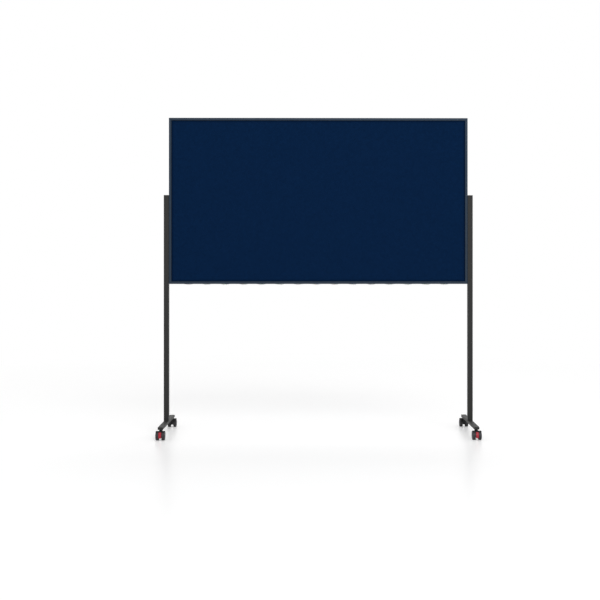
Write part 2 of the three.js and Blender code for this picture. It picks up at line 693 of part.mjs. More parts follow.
// One side of the stand: a post on its foot beam, with a braked caster in front and a free
// one behind. board is the direction of the board, 1 or -1 along X.
function standSide(side, board) {
  const group = new THREE.Group();
  group.position.x = -board * POST_X;
  group.add(
    piece(`${side}_post`, geometryOf(post(board)), POST_COAT()),
    piece(`${side}_post_cap`, geometryOf(postCap()), BLACK_PLASTIC()),
    piece(`${side}_post_insert`, geometryOf(postInsert()), CAST_ALUMINIUM()),
    piece(`${side}_foot_beam`, footBeam(), POST_COAT()),
  );
  for (const end of ["front", "rear"]) {
    const name = `${end}_${side}`;
    const cap = piece(`${name}_beam_cap`, beamEndCap(), BLACK_PLASTIC());
    cap.rotation.z = end === "front" ? Math.PI : 0;
    group.add(cap, caster(name, end === "front"));
  }
  group.add(...baseBolts(side), ...boardBolts(side, board));
  return group;
}

// Bolts from the foot beam's hollow up into the post's insert.
function baseBolts(side) {
  const seat = BEAM_TOP - TUBE_WALL - GAP;
  const length = BEAM_TOP + 2 * GAP + BASE_BOLT_ENTRY - seat;
  return baseBoltPlaces().map((y, i) => {
    const name = `${side}_${["front", "rear"][i]}_base_bolt`;
    const screw = piece(name, geometryOf(bolt(length)), STEEL());
    screw.position.set(0, y, seat);
    return screw;
  });
}

// Bolts from the post's hollow into the board's side rail, behind plugged access holes.
function boardBolts(side, board) {
  const seat = POST_WIDTH / 2 - TUBE_WALL - GAP;
  const length = POST_WIDTH / 2 + BOARD_TO_POST + SLOT_FLOOR - seat;
  return boltHeights().flatMap((z, i) => {
    const name = `${side}_${["lower", "upper"][i]}`;
    const screw = piece(`${name}_board_bolt`, geometryOf(bolt(length)), STEEL());
    screw.rotation.y = (board * Math.PI) / 2;
    screw.position.set(board * seat, 0, z);
    const plug = piece(`${name}_hole_plug`, geometryOf(holePlug()), BLACK_PLASTIC());
    plug.rotation.y = (-board * Math.PI) / 2;
    plug.position.set((-board * POST_WIDTH) / 2, 0, z);
    return [screw, plug];
  });
}

const partition = new THREE.Group();
partition.name = "rolling_partition";
partition.add(frame(), ...cornerKeys(), ...panel(), clipStrip());
for (const [side, board] of [["left", 1], ["right", -1]]) {
  partition.add(standSide(side, board));
}

export default partition;
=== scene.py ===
"""Rolling partition: the finished surfaces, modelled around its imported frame.

Metres, +Z up. X runs across the board, the front looks towards -Y, and the origin is on the
floor under the middle of the board. Left and right are as seen from the front.
"""

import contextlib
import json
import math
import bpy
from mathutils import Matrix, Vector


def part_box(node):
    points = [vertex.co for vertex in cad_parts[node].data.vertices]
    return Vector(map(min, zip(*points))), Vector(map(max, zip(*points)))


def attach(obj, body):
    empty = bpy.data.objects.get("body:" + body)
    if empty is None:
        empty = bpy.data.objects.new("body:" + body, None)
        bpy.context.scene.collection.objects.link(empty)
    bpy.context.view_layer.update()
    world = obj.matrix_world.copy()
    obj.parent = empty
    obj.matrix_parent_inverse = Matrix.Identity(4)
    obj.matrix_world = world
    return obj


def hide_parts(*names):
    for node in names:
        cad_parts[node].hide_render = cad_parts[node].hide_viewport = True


bl_info = {
    "name": "Rolling Partition",
    "version": (1, 0, 0),
    "blender": (4, 5, 0),
    "location": "3D View > Sidebar > Partition",
    "description": "Models the surfaces and the stage of a felt partition on casters",
    "category": "Add Mesh",
}

import bmesh
import bpy
from bpy.props import FloatProperty, FloatVectorProperty, IntProperty, PointerProperty
from mathutils import Matrix, Vector, noise

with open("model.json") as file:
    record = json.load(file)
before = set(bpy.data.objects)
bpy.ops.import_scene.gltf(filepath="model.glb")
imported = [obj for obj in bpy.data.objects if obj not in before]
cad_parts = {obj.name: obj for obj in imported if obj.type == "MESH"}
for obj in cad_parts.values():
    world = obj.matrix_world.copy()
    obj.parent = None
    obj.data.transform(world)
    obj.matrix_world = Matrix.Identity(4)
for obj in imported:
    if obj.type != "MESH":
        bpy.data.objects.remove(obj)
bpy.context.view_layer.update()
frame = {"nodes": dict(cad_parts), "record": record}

SIDES = {"left": -1, "right": 1}
ENDS = {"front": -1, "rear": 1}
CORNERS = [(end, side) for end in ENDS for side in SIDES]
X, Y, Z = range(3)

SLOTS = {part["node"]: part["material_slot"] for part in frame["record"]["subparts"]}

# ------------------------------------------------------------ sizes that the boxes don't give
# Metres. Angles are in degrees, about the named axis, from +Y towards +Z.

RAIL_LIP = 0.0024  # thickness of a rail's front and back wall
RAIL_SLOT = 0.007  # depth of the slot that holds the panel
FELT_UNDER_LIP = 0.001  # how far under a rail's lip the felt starts to rise
TUBE_WALL = 0.002
PLUG_GAP = 0.0003
ACCESS_HOLE = 0.0058  # radius
BOLT_HOLE = 0.0033  # radius
DRILL_REACH = 0.006  # to either side of a post's wall
PLUG_ROUNDING = 0.0004
PLUG_DISH = ((0.0007, 0), (0.0009, -0.0004), (0.0016, -0.0002))  # width and rise of its rings
EDGE_BREAK = 0.0003  # radius of the tubes' cut edges
CAP_PLATE = 0.003  # thickness of a cap outside its tube
STRIP_THICKNESS = 0.0024
STRIP_HEAD = 0.0015  # height of the clip strip's head
STRIP_ROUNDING = 0.0004
LIP_COUNT = 15
LIP_WIDTH = 0.054
LIP_DROP = 0.005

STEM_RADIUS = 0.004
HEXAGON = 0.0035  # from the beam to the lower face of the stem's hexagon
HEXAGON_ROUNDING = 0.0005
PIN_ROUNDING = 0.0006
HUB_RADIUS = 0.008
RIM = 0.0044  # width of the rim on a wheel's inner side
RECESS = 0.0055  # depth of the hollow between hub and rim
HUB_END = 0.0019  # thickness of the disc over the axle's end
DISC_RINGS = 12
SCORED_RING = 3  # the ring of the disc that has a groove round its inner edge
DISC_GROOVE = (0.0003, 0.0005)  # width of each side, and depth
SPINDLE_RADIUS = 0.0034
HOOD_WIDTH = 0.0152
HOOD_BELOW_AXLE = 0.0085
COLLAR_RADIUS = 0.010
COLLAR_SINK = 0.003
COLLAR_ROUNDING = 0.0008
FREE_HOOD_TAIL = 0.024
BRAKED_HOOD_TAIL = 0.0185
GUARD_INNER = 0.0263  # radius about the axle
GUARD_THICKNESS = 0.0022
GUARD_START = 15  # about the axle
GUARD_END = 122
GUARD_ROOT = 0.001  # how far the guard's rib reaches into the web
ROOM_START = 167  # about the pivot, where the room for the pedal begins
ROOM_END = 230
ROOM_OUTER = 0.08
ROOM_PLAY = 0.0005
SLOT_LOW_END = 199  # about the pivot, where the arm's slot ends at the front

LEVER_PROUD = 0.0035
LEVER_TOP = 128  # about the axle
LEVER_BOTTOM = 203
LEVER_BACK = 0.02497  # radius of the pedal's back about the pivot
LEVER_BACK_END = 214  # about the pivot
GROOVE_START = 142  # about the axle
GROOVE_PITCH = 9
GROOVE_RADIUS = 0.0012
GROOVE_CENTRE = 0.0006  # how far a groove's centre lies outside the pedal
ARM_WIDTH = 0.006
ARM_HEIGHT = 0.005  # above the pivot, before its top is trimmed
ARM_ROUNDING = 0.0005
ARM_BITE = 0.0022  # how far the arm reaches into the pedal
ARM_RISE = 0.022  # slope of the arm's top
EYE_RADIUS = 0.0032
PIN_RADIUS = 0.0015
PIN_PLAY = 0.0004
PAD_RADIUS = 0.0013
PAD_LENGTH = 0.004

CUT_MARGIN = 0.001  # how far the parts of a shape reach past the plane that trims them
MERGE_DISTANCE = 0.00002
PLANE_TOLERANCE = 0.000001
FACING = 0.9  # least share of a normal along an axis, for a face at that end
FLAT = 0.999  # the same, where rounded edges lie beside the face
TUCK_STEPS = 4
FELT_CUTS = 31
FELT_WAVES = (5.0, 13.0)  # waves to a metre, slow and quick

# ------------------------------------------------------------ looks

# Part of a finish's colour that its body gives. Its clear surface reflects the rest.
ANODISED_BODY = (0.6, 0.79, 0.94)
COAT_BODY = 0.64
CLIP_PAINTED_LIGHT = 1.45  # painted light: the milky plastic is made paler than its own colour, to make up for the light that the rail's shade takes from its lips
TREAD_SHADE = 0.8
LINE_DEPTH = 0.00002
STRAND_LAYERS = ((0.0, 0.0), (3.7, 1.05), (9.1, 2.1))  # shift and turn of the felt's strands
STRAND_SQUEEZE = (1.0, 1.0, 0.16)
SPECIAL_SOCKETS = {
    "red": {"Coat_Weight": 0.25},
    "clip": {"Transmission_Weight": 0.75, "Subsurface_Weight": 0.3, "Subsurface_Scale": 0.004},
}
INNER_FINISHES = {"fibreboard": "core", "cast_alloy": "alloy", "steel": "steel"}
LAMPS = {"key": ((2.2, -7.4, 6.2), 5.5), "back": ((0.3, 3.6, 6.6), 3.0)}  # place, width
LAMP_TARGET = (0, 0, 1.0)
FLOOR_RADIUS = 14
FLOOR_FADE = (2.0, 5.5)  # where the floor starts and ends to turn white, from the middle
FLOOR_LIFT = 0.225  # how much paler the floor is where the camera sees it
MATERIALS = {}


def slot_colour(slot):
    """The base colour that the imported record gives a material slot."""
    return next(m["base_color"] for m in frame["record"]["materials"] if m["slot"] == slot)


def length(description, default):
    """A property that holds a length."""
    return FloatProperty(
        description=description, default=default, min=0, unit="LENGTH", precision=5
    )


def number(description, default, **options):
    """A property that holds a plain number."""
    return FloatProperty(description=description, default=default, **options)


def colour(slot):
    """A property that holds a finish's colour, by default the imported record's."""
    return FloatVectorProperty(
        description=f"Base colour of the material slot {slot}",
        subtype="COLOR",
        min=0,
        max=1,
        default=slot_colour(slot)[:3],
    )


class PartitionSizes(bpy.types.PropertyGroup):
    """Sizes of the surface detail, which the frame leaves open."""

    felt_tuck: length("How far the felt's edge is pressed in by the rails", 0.0016)
    tuck_width: length("Width of the felt's pressed edge beside a rail", 0.010)
    felt_wave: length("Height of the felt's slow waves", 0.00012)
    rail_rounding: length("Radius of the rails' edges", 0.0004)
    lip_rounding: length("Radius of the rails' edges over the felt", 0.0016)
    post_corner: length("Radius of the posts' corners", 0.002)
    beam_corner: length("Radius of the foot beams' corners", 0.0015)
    cap_rounding: length("Radius round the caps' outer edges", 0.0008)
    tread_shoulder: length("Radius of the edges of a wheel's tread", 0.0014)
    wheel_bulge: length("How far a wheel's disc stands out past its tread", 0.003)
    hood_rounding: length("Radius of the caster hoods' edges", 0.0007)
    lever_rounding: length("Radius of the brake levers' edges", 0.0008)
    grip_count: IntProperty(description="Grooves across a brake pedal", default=3, min=0, max=6)


class PartitionColours(bpy.types.PropertyGroup):
    """Colours of the finishes."""

    felt: colour("felt")
    frame: colour("frame_anodised")
    posts: colour("post_coat")
    black_plastic: colour("black_plastic")
    wheels: colour("wheel_plastic")
    levers: colour("red_plastic")
    clip_strip: colour("clip_plastic")
    black_steel: colour("black_steel")
    steel: colour("steel")
    alloy: colour("cast_alloy")
    core: colour("fibreboard")


class PartitionStage(bpy.types.PropertyGroup):
    """The camera and the light."""

    distance: length("From the lens to the board's middle plane", 5.97)
    eye_height: length("Height of the lens above the floor", 0.983)
    turn: number("How far the camera goes round", math.radians(-0.45), subtype="ANGLE")
    lens: number("Focal length", 59.34, unit="CAMERA")
    shift_x: number("Sideways lens shift", -0.0307)
    shift_y: number("Upward lens shift", -0.0497)
    sky: number("Strength of the light from all round", 0.6)
    key: number("Power of the large lamp", 330, unit="POWER")
    back: number("Power of the rear lamp", 60, unit="POWER")
    floor: number("Floor's reflectance", 0.86, max=1)


# ------------------------------------------------------------ modelling


def choose(*pieces):
    """Select these pieces and nothing else; the first becomes the active one."""
    bpy.ops.object.select_all(action="DESELECT")
    for piece in pieces:
        piece.select_set(True)
    bpy.context.view_layer.objects.active = pieces[0]


def settled(name):
    """Name the primitive that was just added, and put its place into its mesh."""
    piece = bpy.context.object
    piece.name = piece.data.name = name
    bpy.ops.object.transform_apply(location=True, rotation=True, scale=True)
    return piece


def block(name, low, high):
    """A box between its lowest and its highest corner."""
    low, high = Vector(low), Vector(high)
    bpy.ops.object.select_all(action="DESELECT")
    bpy.ops.mesh.primitive_cube_add(size=1, location=(low + high) / 2, scale=high - low)
    return settled(name)


def rod(name, radius, start, end, sides=48):
    """A round bar between two points."""
    start, end = Vector(start), Vector(end)
    run = end - start
    bpy.ops.object.select_all(action="DESELECT")
    bpy.ops.mesh.primitive_cylinder_add(
        vertices=sides,
        radius=radius,
        depth=run.length,
        location=(start + end) / 2,
        rotation=run.to_track_quat("Z", "Y").to_euler(),
    )
    return settled(name)


def cross_rod(name, radius, reach, centre, sides=48):
    """A round bar along X through a centre given as (y, z)."""
    return rod(name, radius, (-reach, *centre), (reach, *centre), sides)


@contextlib.contextmanager
def editing(piece):
    """Edit mode on one piece."""
    choose(piece)
    bpy.ops.object.mode_set(mode="EDIT")
    yield
    bpy.ops.object.mode_set(mode="OBJECT")


def pick(kind, test):
    """In edit mode, select the faces or the edges that pass a test, and nothing else."""
    bpy.ops.mesh.select_mode(type=kind)
    bpy.ops.mesh.select_all(action="DESELECT")
    mesh = bmesh.from_edit_mesh(bpy.context.edit_object.data)
    mesh.normal_update()
    for part in mesh.faces if kind == "FACE" else mesh.edges:
        if test(part):
            part.select_set(True)
    bmesh.update_edit_mesh(bpy.context.edit_object.data)


def pick_faces(test):
    """In edit mode, select the faces whose centre and normal pass a test."""
    pick("FACE", lambda face: test(face.calc_center_median(), face.normal))


def pick_ends(axis, outward=0, least=FACING):
    """In edit mode, select the faces at both ends along an axis, or at its outward end."""
    if outward:
        pick_faces(lambda centre, normal: normal[axis] * outward > least)
    else:
        pick_faces(lambda centre, normal: abs(normal[axis]) > least)


def pick_edges(test):
    """In edit mode, select the edges whose two ends pass a test."""
    pick("EDGE", lambda edge: test(edge.verts[0].co, edge.verts[1].co))


def bevel(radius, steps):
    """In edit mode, round the selected edges, or those round the selected faces."""
    bpy.ops.mesh.bevel(offset=radius, segments=steps, affect="EDGES")


def inset(thickness, depth=0):
    """In edit mode, inset the selected faces and raise them."""
    bpy.ops.mesh.inset(thickness=thickness, depth=depth)


def push(offset):
    """Extrude the selected faces by an offset."""
    bpy.ops.mesh.extrude_region_move(TRANSFORM_OT_translate={"value": offset})


def score(point, normal, **options):
    """Divide the faces along a plane."""
    bpy.ops.mesh.select_all(action="SELECT")
    across = Vector(normal).normalized()
    bpy.ops.mesh.bisect(plane_co=point, plane_no=across, threshold=PLANE_TOLERANCE, **options)


def saw(point, normal):
    """Cut away what lies on the side of a plane that its normal points to."""
    score(point, normal, use_fill=True, clear_outer=True)


def apply_modifier(piece, kind, **settings):
    """Give a piece a modifier and apply it."""
    choose(piece)
    bpy.ops.object.modifier_add(type=kind)
    modifier = piece.modifiers[-1]
    for key, value in settings.items():
        setattr(modifier, key, value)
    bpy.ops.object.modifier_apply(modifier=modifier.name)


def combine(piece, tool, operation="DIFFERENCE"):
    """Cut a piece with a tool, or join them, and remove the tool."""
    apply_modifier(piece, "BOOLEAN", operation=operation, solver="EXACT", object=tool)
    removed(tool)
    with editing(piece):
        bpy.ops.mesh.select_all(action="SELECT")
        bpy.ops.mesh.remove_doubles(threshold=MERGE_DISTANCE)
    return piece


def join(piece, tool):
    """Join a tool to a piece."""
    return combine(piece, tool, "UNION")


def rounded(piece, radius, steps=3, sharper_than=32):
    """Round a piece's sharp edges."""
    apply_modifier(
        piece,
        "BEVEL",
        width=radius,
        segments=steps,
        limit_method="ANGLE",
        angle_limit=math.radians(sharper_than),
        miter_outer="MITER_ARC",
    )
    return piece


def smoothed(piece, angle=32):
    """Shade a piece smooth across its small angles, with the flat faces kept flat."""
    choose(piece)
    bpy.ops.object.shade_smooth_by_angle(angle=math.radians(angle))
    apply_modifier(piece, "WEIGHTED_NORMAL", keep_sharp=True)
    return piece


def rounded_block(name, low, high, axis, corner, steps=6):
    """A box whose four edges along an axis are rounded."""
    piece = block(name, low, high)
    with editing(piece):
        pick_edges(lambda a, b: abs((b - a).normalized()[axis]) > FACING)
        bevel(corner, steps)
    return piece


def copied(piece, name, place):
    """A copy with its own mesh, moved by a matrix."""
    copy = piece.copy()
    copy.data = piece.data.copy()
    copy.name = copy.data.name = name
    copy.data.transform(place)
    bpy.context.scene.collection.objects.link(copy)
    return copy


def removed(piece):
    """Delete a piece that was only a pattern for copies."""
    mesh = piece.data
    bpy.data.objects.remove(piece)
    bpy.data.meshes.remove(mesh)


def middle(node):
    """The centre of a node's box."""
    low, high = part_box(node)
    return (low + high) / 2


def grown(low, high, by):
    """A box's two corners, moved out by a length for each axis."""
    return low - Vector(by), high + Vector(by)


def finished(piece, node, *finishes, body="stand"):
    """Give a piece its materials, hang it on the body it rides on, and hide the node it
    replaces.
    """
    piece.data.materials.clear()
    for finish in finishes:
        piece.data.materials.append(MATERIALS[finish])
    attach(piece, body)
    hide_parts(node)


# ------------------------------------------------------------ materials


def add_node(tree, kind, values=None, **settings):
    """Add a shader node. The values are numbers, colours or sockets, by their input."""
    node = tree.nodes.new("ShaderNode" + kind)
    for key, value in settings.items():
        setattr(node, key, value)
    for key, value in (values or {}).items():
        if isinstance(value, bpy.types.NodeSocket):
            tree.links.new(value, node.inputs[key])
        else:
            node.inputs[key].default_value = value
    return node


def new_group(name, inputs, outputs):
    """An empty shader node group. The inputs have defaults, and the outputs have kinds."""
    tree = bpy.data.node_groups.new(name, "ShaderNodeTree")
    for label, default in inputs.items():
        kind = "NodeSocketFloat" if isinstance(default, float) else "NodeSocketColor"
        socket = tree.interface.new_socket(label, in_out="INPUT", socket_type=kind)
        socket.default_value = default
    for label, kind in outputs.items():
        tree.interface.new_socket(label, in_out="OUTPUT", socket_type="NodeSocket" + kind)
    return tree, tree.nodes.new("NodeGroupInput"), tree.nodes.new("NodeGroupOutput")


def arithmetic(tree, operation, first, second):
    """The result of a Math node."""
    return add_node(tree, "Math", {0: first, 1: second}, operation=operation).outputs[0]


def ranged(tree, source, low, high, start=0.3, end=0.7):
    """A mask spread between two values."""
    values = {0: source, 1: start, 2: end, 3: low, 4: high}
    return add_node(tree, "MapRange", values).outputs[0]


def object_place(tree):
    """The place of a point on the object."""
    return add_node(tree, "TexCoord").outputs["Object"]


def clouds(tree, place, scale, detail, distortion=0.0):
    """A mask of soft noise."""
    values = {"Vector": place, "Scale": scale, "Detail": detail, "Distortion": distortion}
    return add_node(tree, "TexNoise", values).outputs[0]


def stretched(tree, place, factors):
    """A place multiplied by a factor for each axis."""
    return add_node(tree, "VectorMath", {0: place, 1: factors}, operation="MULTIPLY").outputs[0]


def mottle_group():
    """Cloudy light and dark patches in a colour."""
    inputs = {"Color": (0.5, 0.5, 0.5, 1.0), "Scale": 100.0, "Spread": 0.1}
    tree, given, result = new_group("mottle", inputs, {"Color": "Color"})
    patches = clouds(tree, object_place(tree), given.outputs["Scale"], 5.0)
    shade = ranged(tree, patches, -1.0, 1.0)
    shade = arithmetic(tree, "MULTIPLY", shade, given.outputs["Spread"])
    shade = arithmetic(tree, "ADD", shade, 1.0)
    values = {0: 1.0, 6: given.outputs["Color"], 7: shade}
    tinted = add_node(tree, "Mix", values, data_type="RGBA", blend_type="MULTIPLY")
    tree.links.new(tinted.outputs[2], result.inputs["Color"])


def pebble_group():
    """Height of a pebbled skin: soft bumps with a finer grain on them."""
    outputs = {"Height": "Float", "Mask": "Float"}
    tree, given, result = new_group("pebble", {"Scale": 800.0, "Grain": 0.3}, outputs)
    place = object_place(tree)
    values = {"Vector": place, "Scale": given.outputs["Scale"]}
    bumps = add_node(tree, "TexVoronoi", values, feature="SMOOTH_F1")
    fine = arithmetic(tree, "MULTIPLY", given.outputs["Scale"], 3.1)
    grain = clouds(tree, place, fine, 3.0)
    share = arithmetic(tree, "MULTIPLY", grain, given.outputs["Grain"])
    height = arithmetic(tree, "SUBTRACT", share, bumps.outputs["Distance"])
    tree.links.new(height, result.inputs["Height"])
    tree.links.new(grain, result.inputs["Mask"])


def drawn_group():
    """Fine lines that run along one axis, as on drawn or brushed metal."""
    inputs = {"Across X": 1.0, "Across Y": 1.0, "Across Z": 1.0, "Scale": 1500.0}
    tree, given, result = new_group("drawn_lines", inputs, {"Mask": "Float"})
    across = add_node(tree, "CombineXYZ", {i: given.outputs[i] for i in (X, Y, Z)})
    squeezed = stretched(tree, object_place(tree), across.outputs[0])
    lines = clouds(tree, squeezed, given.outputs["Scale"], 4.0)
    tree.links.new(lines, result.inputs["Mask"])


def fibre_group():
    """Matted fibres: strands in every direction, gathered in soft clumps."""
    outputs = {"Fibres": "Float", "Clumps": "Float"}
    tree, given, result = new_group("matted_fibres", {"Scale": 900.0}, outputs)
    place = object_place(tree)
    strands = []
    for shift, turn in STRAND_LAYERS:
        values = {"Vector": place, "Location": (shift,) * 3, "Rotation": (0, turn, 0)}
        turned = add_node(tree, "Mapping", values).outputs[0]
        combed = stretched(tree, turned, STRAND_SQUEEZE)
        strands.append(clouds(tree, combed, given.outputs["Scale"], 3.0, 1.6))
    top = arithmetic(tree, "MAXIMUM", strands[0], strands[1])
    top = arithmetic(tree, "MAXIMUM", top, strands[2])
    wide = arithmetic(tree, "MULTIPLY", given.outputs["Scale"], 0.14)
    tree.links.new(top, result.inputs["Fibres"])
    tree.links.new(clouds(tree, place, wide, 4.0), result.inputs["Clumps"])


def scuff_group():
    """A mask of short thin scuffs that thin out over most of a surface."""
    inputs = {"Scale": 260.0, "Amount": 0.3}
    tree, given, result = new_group("scuffs", inputs, {"Mask": "Float"})
    place = object_place(tree)
    lines = clouds(tree, place, given.outputs["Scale"], 2.0, 3.5)
    ridge = ranged(tree, lines, 0.0, 1.0, 0.485, 0.5)
    far = ranged(tree, lines, 0.0, 1.0, 0.5, 0.515)
    line = arithmetic(tree, "SUBTRACT", ridge, far)
    rare = arithmetic(tree, "MULTIPLY", given.outputs["Scale"], 0.2)
    where = ranged(tree, clouds(tree, place, rare, 2.0), 0.0, 1.0, 0.5, 0.75)
    mask = arithmetic(tree, "MULTIPLY", line, where)
    mask = arithmetic(tree, "MULTIPLY", mask, given.outputs["Amount"])
    tree.links.new(mask, result.inputs["Mask"])


class Finish:
    """A material under construction: its tree, its Principled shader and its groups."""

    def __init__(self, name, **sockets):
        self.material = bpy.data.materials.new(name)
        self.material.use_nodes = True
        self.tree = self.material.node_tree
        self.shader = self.tree.nodes["Principled BSDF"]
        for key, value in sockets.items():
            self.shader.inputs[key.replace("_", " ")].default_value = value

    def group(self, name, **values):
        """Place a node group with its own values."""
        node = self.tree.nodes.new("ShaderNodeGroup")
        node.node_tree = bpy.data.node_groups[name]
        for key, value in values.items():
            node.inputs[key.replace("_", " ")].default_value = value
        return node

    def feed(self, socket, source):
        """Link a source to one of the shader's sockets."""
        self.tree.links.new(source, self.shader.inputs[socket])

    def blended(self, mask, first, second):
        """One colour turning into another with a mask."""
        values = {0: mask, 6: first, 7: second}
        return add_node(self.tree, "Mix", values, data_type="RGBA").outputs[2]

    def bump(self, height, depth, strength):
        """A relief of a depth in metres, from a height of 0 to 1."""
        values = {"Strength": strength, "Distance": depth, "Height": height}
        self.feed("Normal", add_node(self.tree, "Bump", values).outputs[0])

    def mottled(self, tint, scale, spread):
        """A colour with cloudy patches."""
        return self.group("mottle", Color=tint, Scale=scale, Spread=spread).outputs["Color"]

    def pebbled(self, scale, grain, depth, low, high):
        """Make the surface pebbled, with its roughness between two values."""
        skin = self.group("pebble", Scale=scale, Grain=grain)
        self.feed("Roughness", ranged(self.tree, skin.outputs["Mask"], low, high))
        self.bump(skin.outputs["Height"], depth, 0.5)

    def lined(self, run, scale, along, strength, low, high):
        """Draw fine lines along an axis, with the roughness between two values."""
        lines = self.group("drawn_lines", Scale=scale)
        lines.inputs[run].default_value = along
        self.feed("Roughness", ranged(self.tree, lines.outputs["Mask"], low, high))
        self.bump(lines.outputs["Mask"], LINE_DEPTH, strength)


def rgba(colour_value, shade=1.0):
    """A property's colour as four numbers, made lighter or darker."""
    return (*[min(1.0, c * shade) for c in colour_value[:3]], 1.0)


def edge_nearness(tree, reach):
    """A mask that rises to 1 where the felt meets the rails, over a width."""
    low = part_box("bottom_rail")[1].z
    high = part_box("top_rail")[0].z
    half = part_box("right_side_rail")[0].x
    axes = add_node(tree, "SeparateXYZ", {0: object_place(tree)}).outputs
    sideways = arithmetic(tree, "ABSOLUTE", axes["X"], 0.0)
    sideways = arithmetic(tree, "SUBTRACT", sideways, half)
    upwards = arithmetic(tree, "SUBTRACT", axes["Z"], (low + high) / 2)
    upwards = arithmetic(tree, "ABSOLUTE", upwards, 0.0)
    upwards = arithmetic(tree, "SUBTRACT", upwards, (high - low) / 2)
    nearest = arithmetic(tree, "MAXIMUM", sideways, upwards)
    return ranged(tree, nearest, 0.0, 1.0, -reach, 0.0)


def felt_material(tint, painted_shade_width):
    """Pressed wool felt: matted fibres, flattened where the rails press it, with painted shade
    that darkens it beside the rails.
    """
    finish = Finish(
        "navy_felt",
        Roughness=0.96,
        Specular_IOR_Level=0.02,
        Sheen_Weight=0.02,
        Sheen_Roughness=0.45,
        Sheen_Tint=(0.45, 0.6, 0.9, 1.0),
    )
    tree = finish.tree
    fibres = finish.group("matted_fibres", Scale=900.0).outputs
    shade = ranged(tree, fibres["Fibres"], 0.0, 1.0, 0.45, 0.75)
    threads = finish.blended(shade, rgba(tint, 0.66), rgba(tint, 1.5))
    clumps = finish.group("mottle", Scale=60.0, Spread=0.07)
    tree.links.new(threads, clumps.inputs["Color"])
    # painted shade: the felt's colour darkens towards the rails, standing in for the shade their
    # lips cast on it
    pressed = edge_nearness(tree, painted_shade_width)
    pressed = arithmetic(tree, "MULTIPLY", pressed, pressed)
    shaded = finish.blended(pressed, clumps.outputs["Color"], rgba(tint, 0.45))
    finish.feed("Base Color", shaded)
    lift = arithmetic(tree, "MULTIPLY", fibres["Clumps"], 0.6)
    finish.bump(arithmetic(tree, "ADD", fibres["Fibres"], lift), 0.0005, 0.7)
    return finish.material


def anodised_material(name, tint, run):
    """Anthracite anodised aluminium, with its drawing lines along one axis."""
    finish = Finish(name, Metallic=0.35, Specular_IOR_Level=0.2)
    body = [c * share for c, share in zip(tint, ANODISED_BODY)]
    finish.feed("Base Color", finish.mottled(rgba(body), 35.0, 0.06))
    finish.lined(run, 1800.0, 0.01, 0.6, 0.34, 0.5)
    return finish.material


def powder_material(tint):
    """Dark powder coat with its fine orange peel."""
    finish = Finish("graphite_powder_coat", Specular_IOR_Level=0.2)
    finish.feed("Base Color", finish.mottled(rgba(tint, COAT_BODY), 420.0, 0.08))
    finish.pebbled(700.0, 0.35, 0.00006, 0.44, 0.58)
    return finish.material


def moulded_material(name, tint, rough, grain, depth, scuffs, **sockets):
    """Moulded plastic with a spark-eroded skin and a few scuffs."""
    finish = Finish(name, Specular_IOR_Level=0.25, **sockets)
    marks = finish.group("scuffs", Scale=240.0, Amount=scuffs).outputs["Mask"]
    plain = finish.mottled(rgba(tint), 150.0, 0.07)
    finish.feed("Base Color", finish.blended(marks, plain, rgba(tint, 2.2)))
    finish.pebbled(grain, 0.5, depth, rough - 0.06, rough + 0.08)
    return finish.material


def brushed_material(name, tint, rough, run):
    """Steel or cast metal with fine lines along one axis."""
    finish = Finish(name, Metallic=0.9)
    finish.feed("Base Color", finish.mottled(rgba(tint), 300.0, 0.08))
    finish.lined(run, 2500.0, 0.03, 0.5, rough - 0.08, rough + 0.1)
    return finish.material


def fibreboard_material(tint):
    """Soft pressed fibreboard."""
    finish = Finish("pressed_fibreboard", Roughness=0.92, Specular_IOR_Level=0.2)
    fibres = finish.group("matted_fibres", Scale=450.0).outputs["Fibres"]
    shade = ranged(finish.tree, fibres, 0.0, 1.0, 0.4, 0.75)
    finish.feed("Base Color", finish.blended(shade, rgba(tint, 0.75), rgba(tint, 1.2)))
    finish.bump(fibres, 0.0003, 0.6)
    return finish.material


def build_materials(colours, sizes):
    """Every finish of the partition, by its name."""
    for build in (mottle_group, pebble_group, drawn_group, fibre_group, scuff_group):
        build()
    # name, colour, roughness, scale and depth of the skin's grain, strength of the scuffs
    mouldings = {
        "black": ("black_moulding", colours.black_plastic, 0.46, 2600.0, 0.00003, 0.15),
        "graphite": (
            "graphite_moulding", rgba(colours.posts, COAT_BODY), 0.5, 2600.0, 0.00003, 0.15
        ),
        "disc": ("wheel_disc", colours.wheels, 0.42, 2000.0, 0.00003, 0.25),
        "tread": (
            "wheel_tread", [c * TREAD_SHADE for c in colours.wheels], 0.72, 1300.0, 0.00008, 0.5
        ),
        "red": ("red_moulding", colours.levers, 0.34, 1800.0, 0.00002, 0.12),
        # painted light: the clip's colour is lifted past its own, against the rail's shade on
        # its lips
        "clip": (
            "pale_moulding", rgba(colours.clip_strip, CLIP_PAINTED_LIGHT), 0.4, 1800.0, 0.00002, 0.1
        ),
    }
    finishes = {
        key: moulded_material(*values, **SPECIAL_SOCKETS.get(key, {}))
        for key, values in mouldings.items()
    }
    return finishes | {
        "felt": felt_material(colours.felt, 2 * sizes.tuck_width),
        "rail_across": anodised_material("anthracite_rail_across", colours.frame, X),
        "rail_upright": anodised_material("anthracite_rail_upright", colours.frame, Z),
        "post": powder_material(colours.posts),
        "black_steel": brushed_material("black_zinc_steel", colours.black_steel, 0.38, Z),
        "steel": brushed_material("turned_steel", colours.steel, 0.32, Z),
        "alloy": brushed_material("cast_alloy", colours.alloy, 0.5, Y),
        "core": fibreboard_material(colours.core),
    }


# ------------------------------------------------------------ board


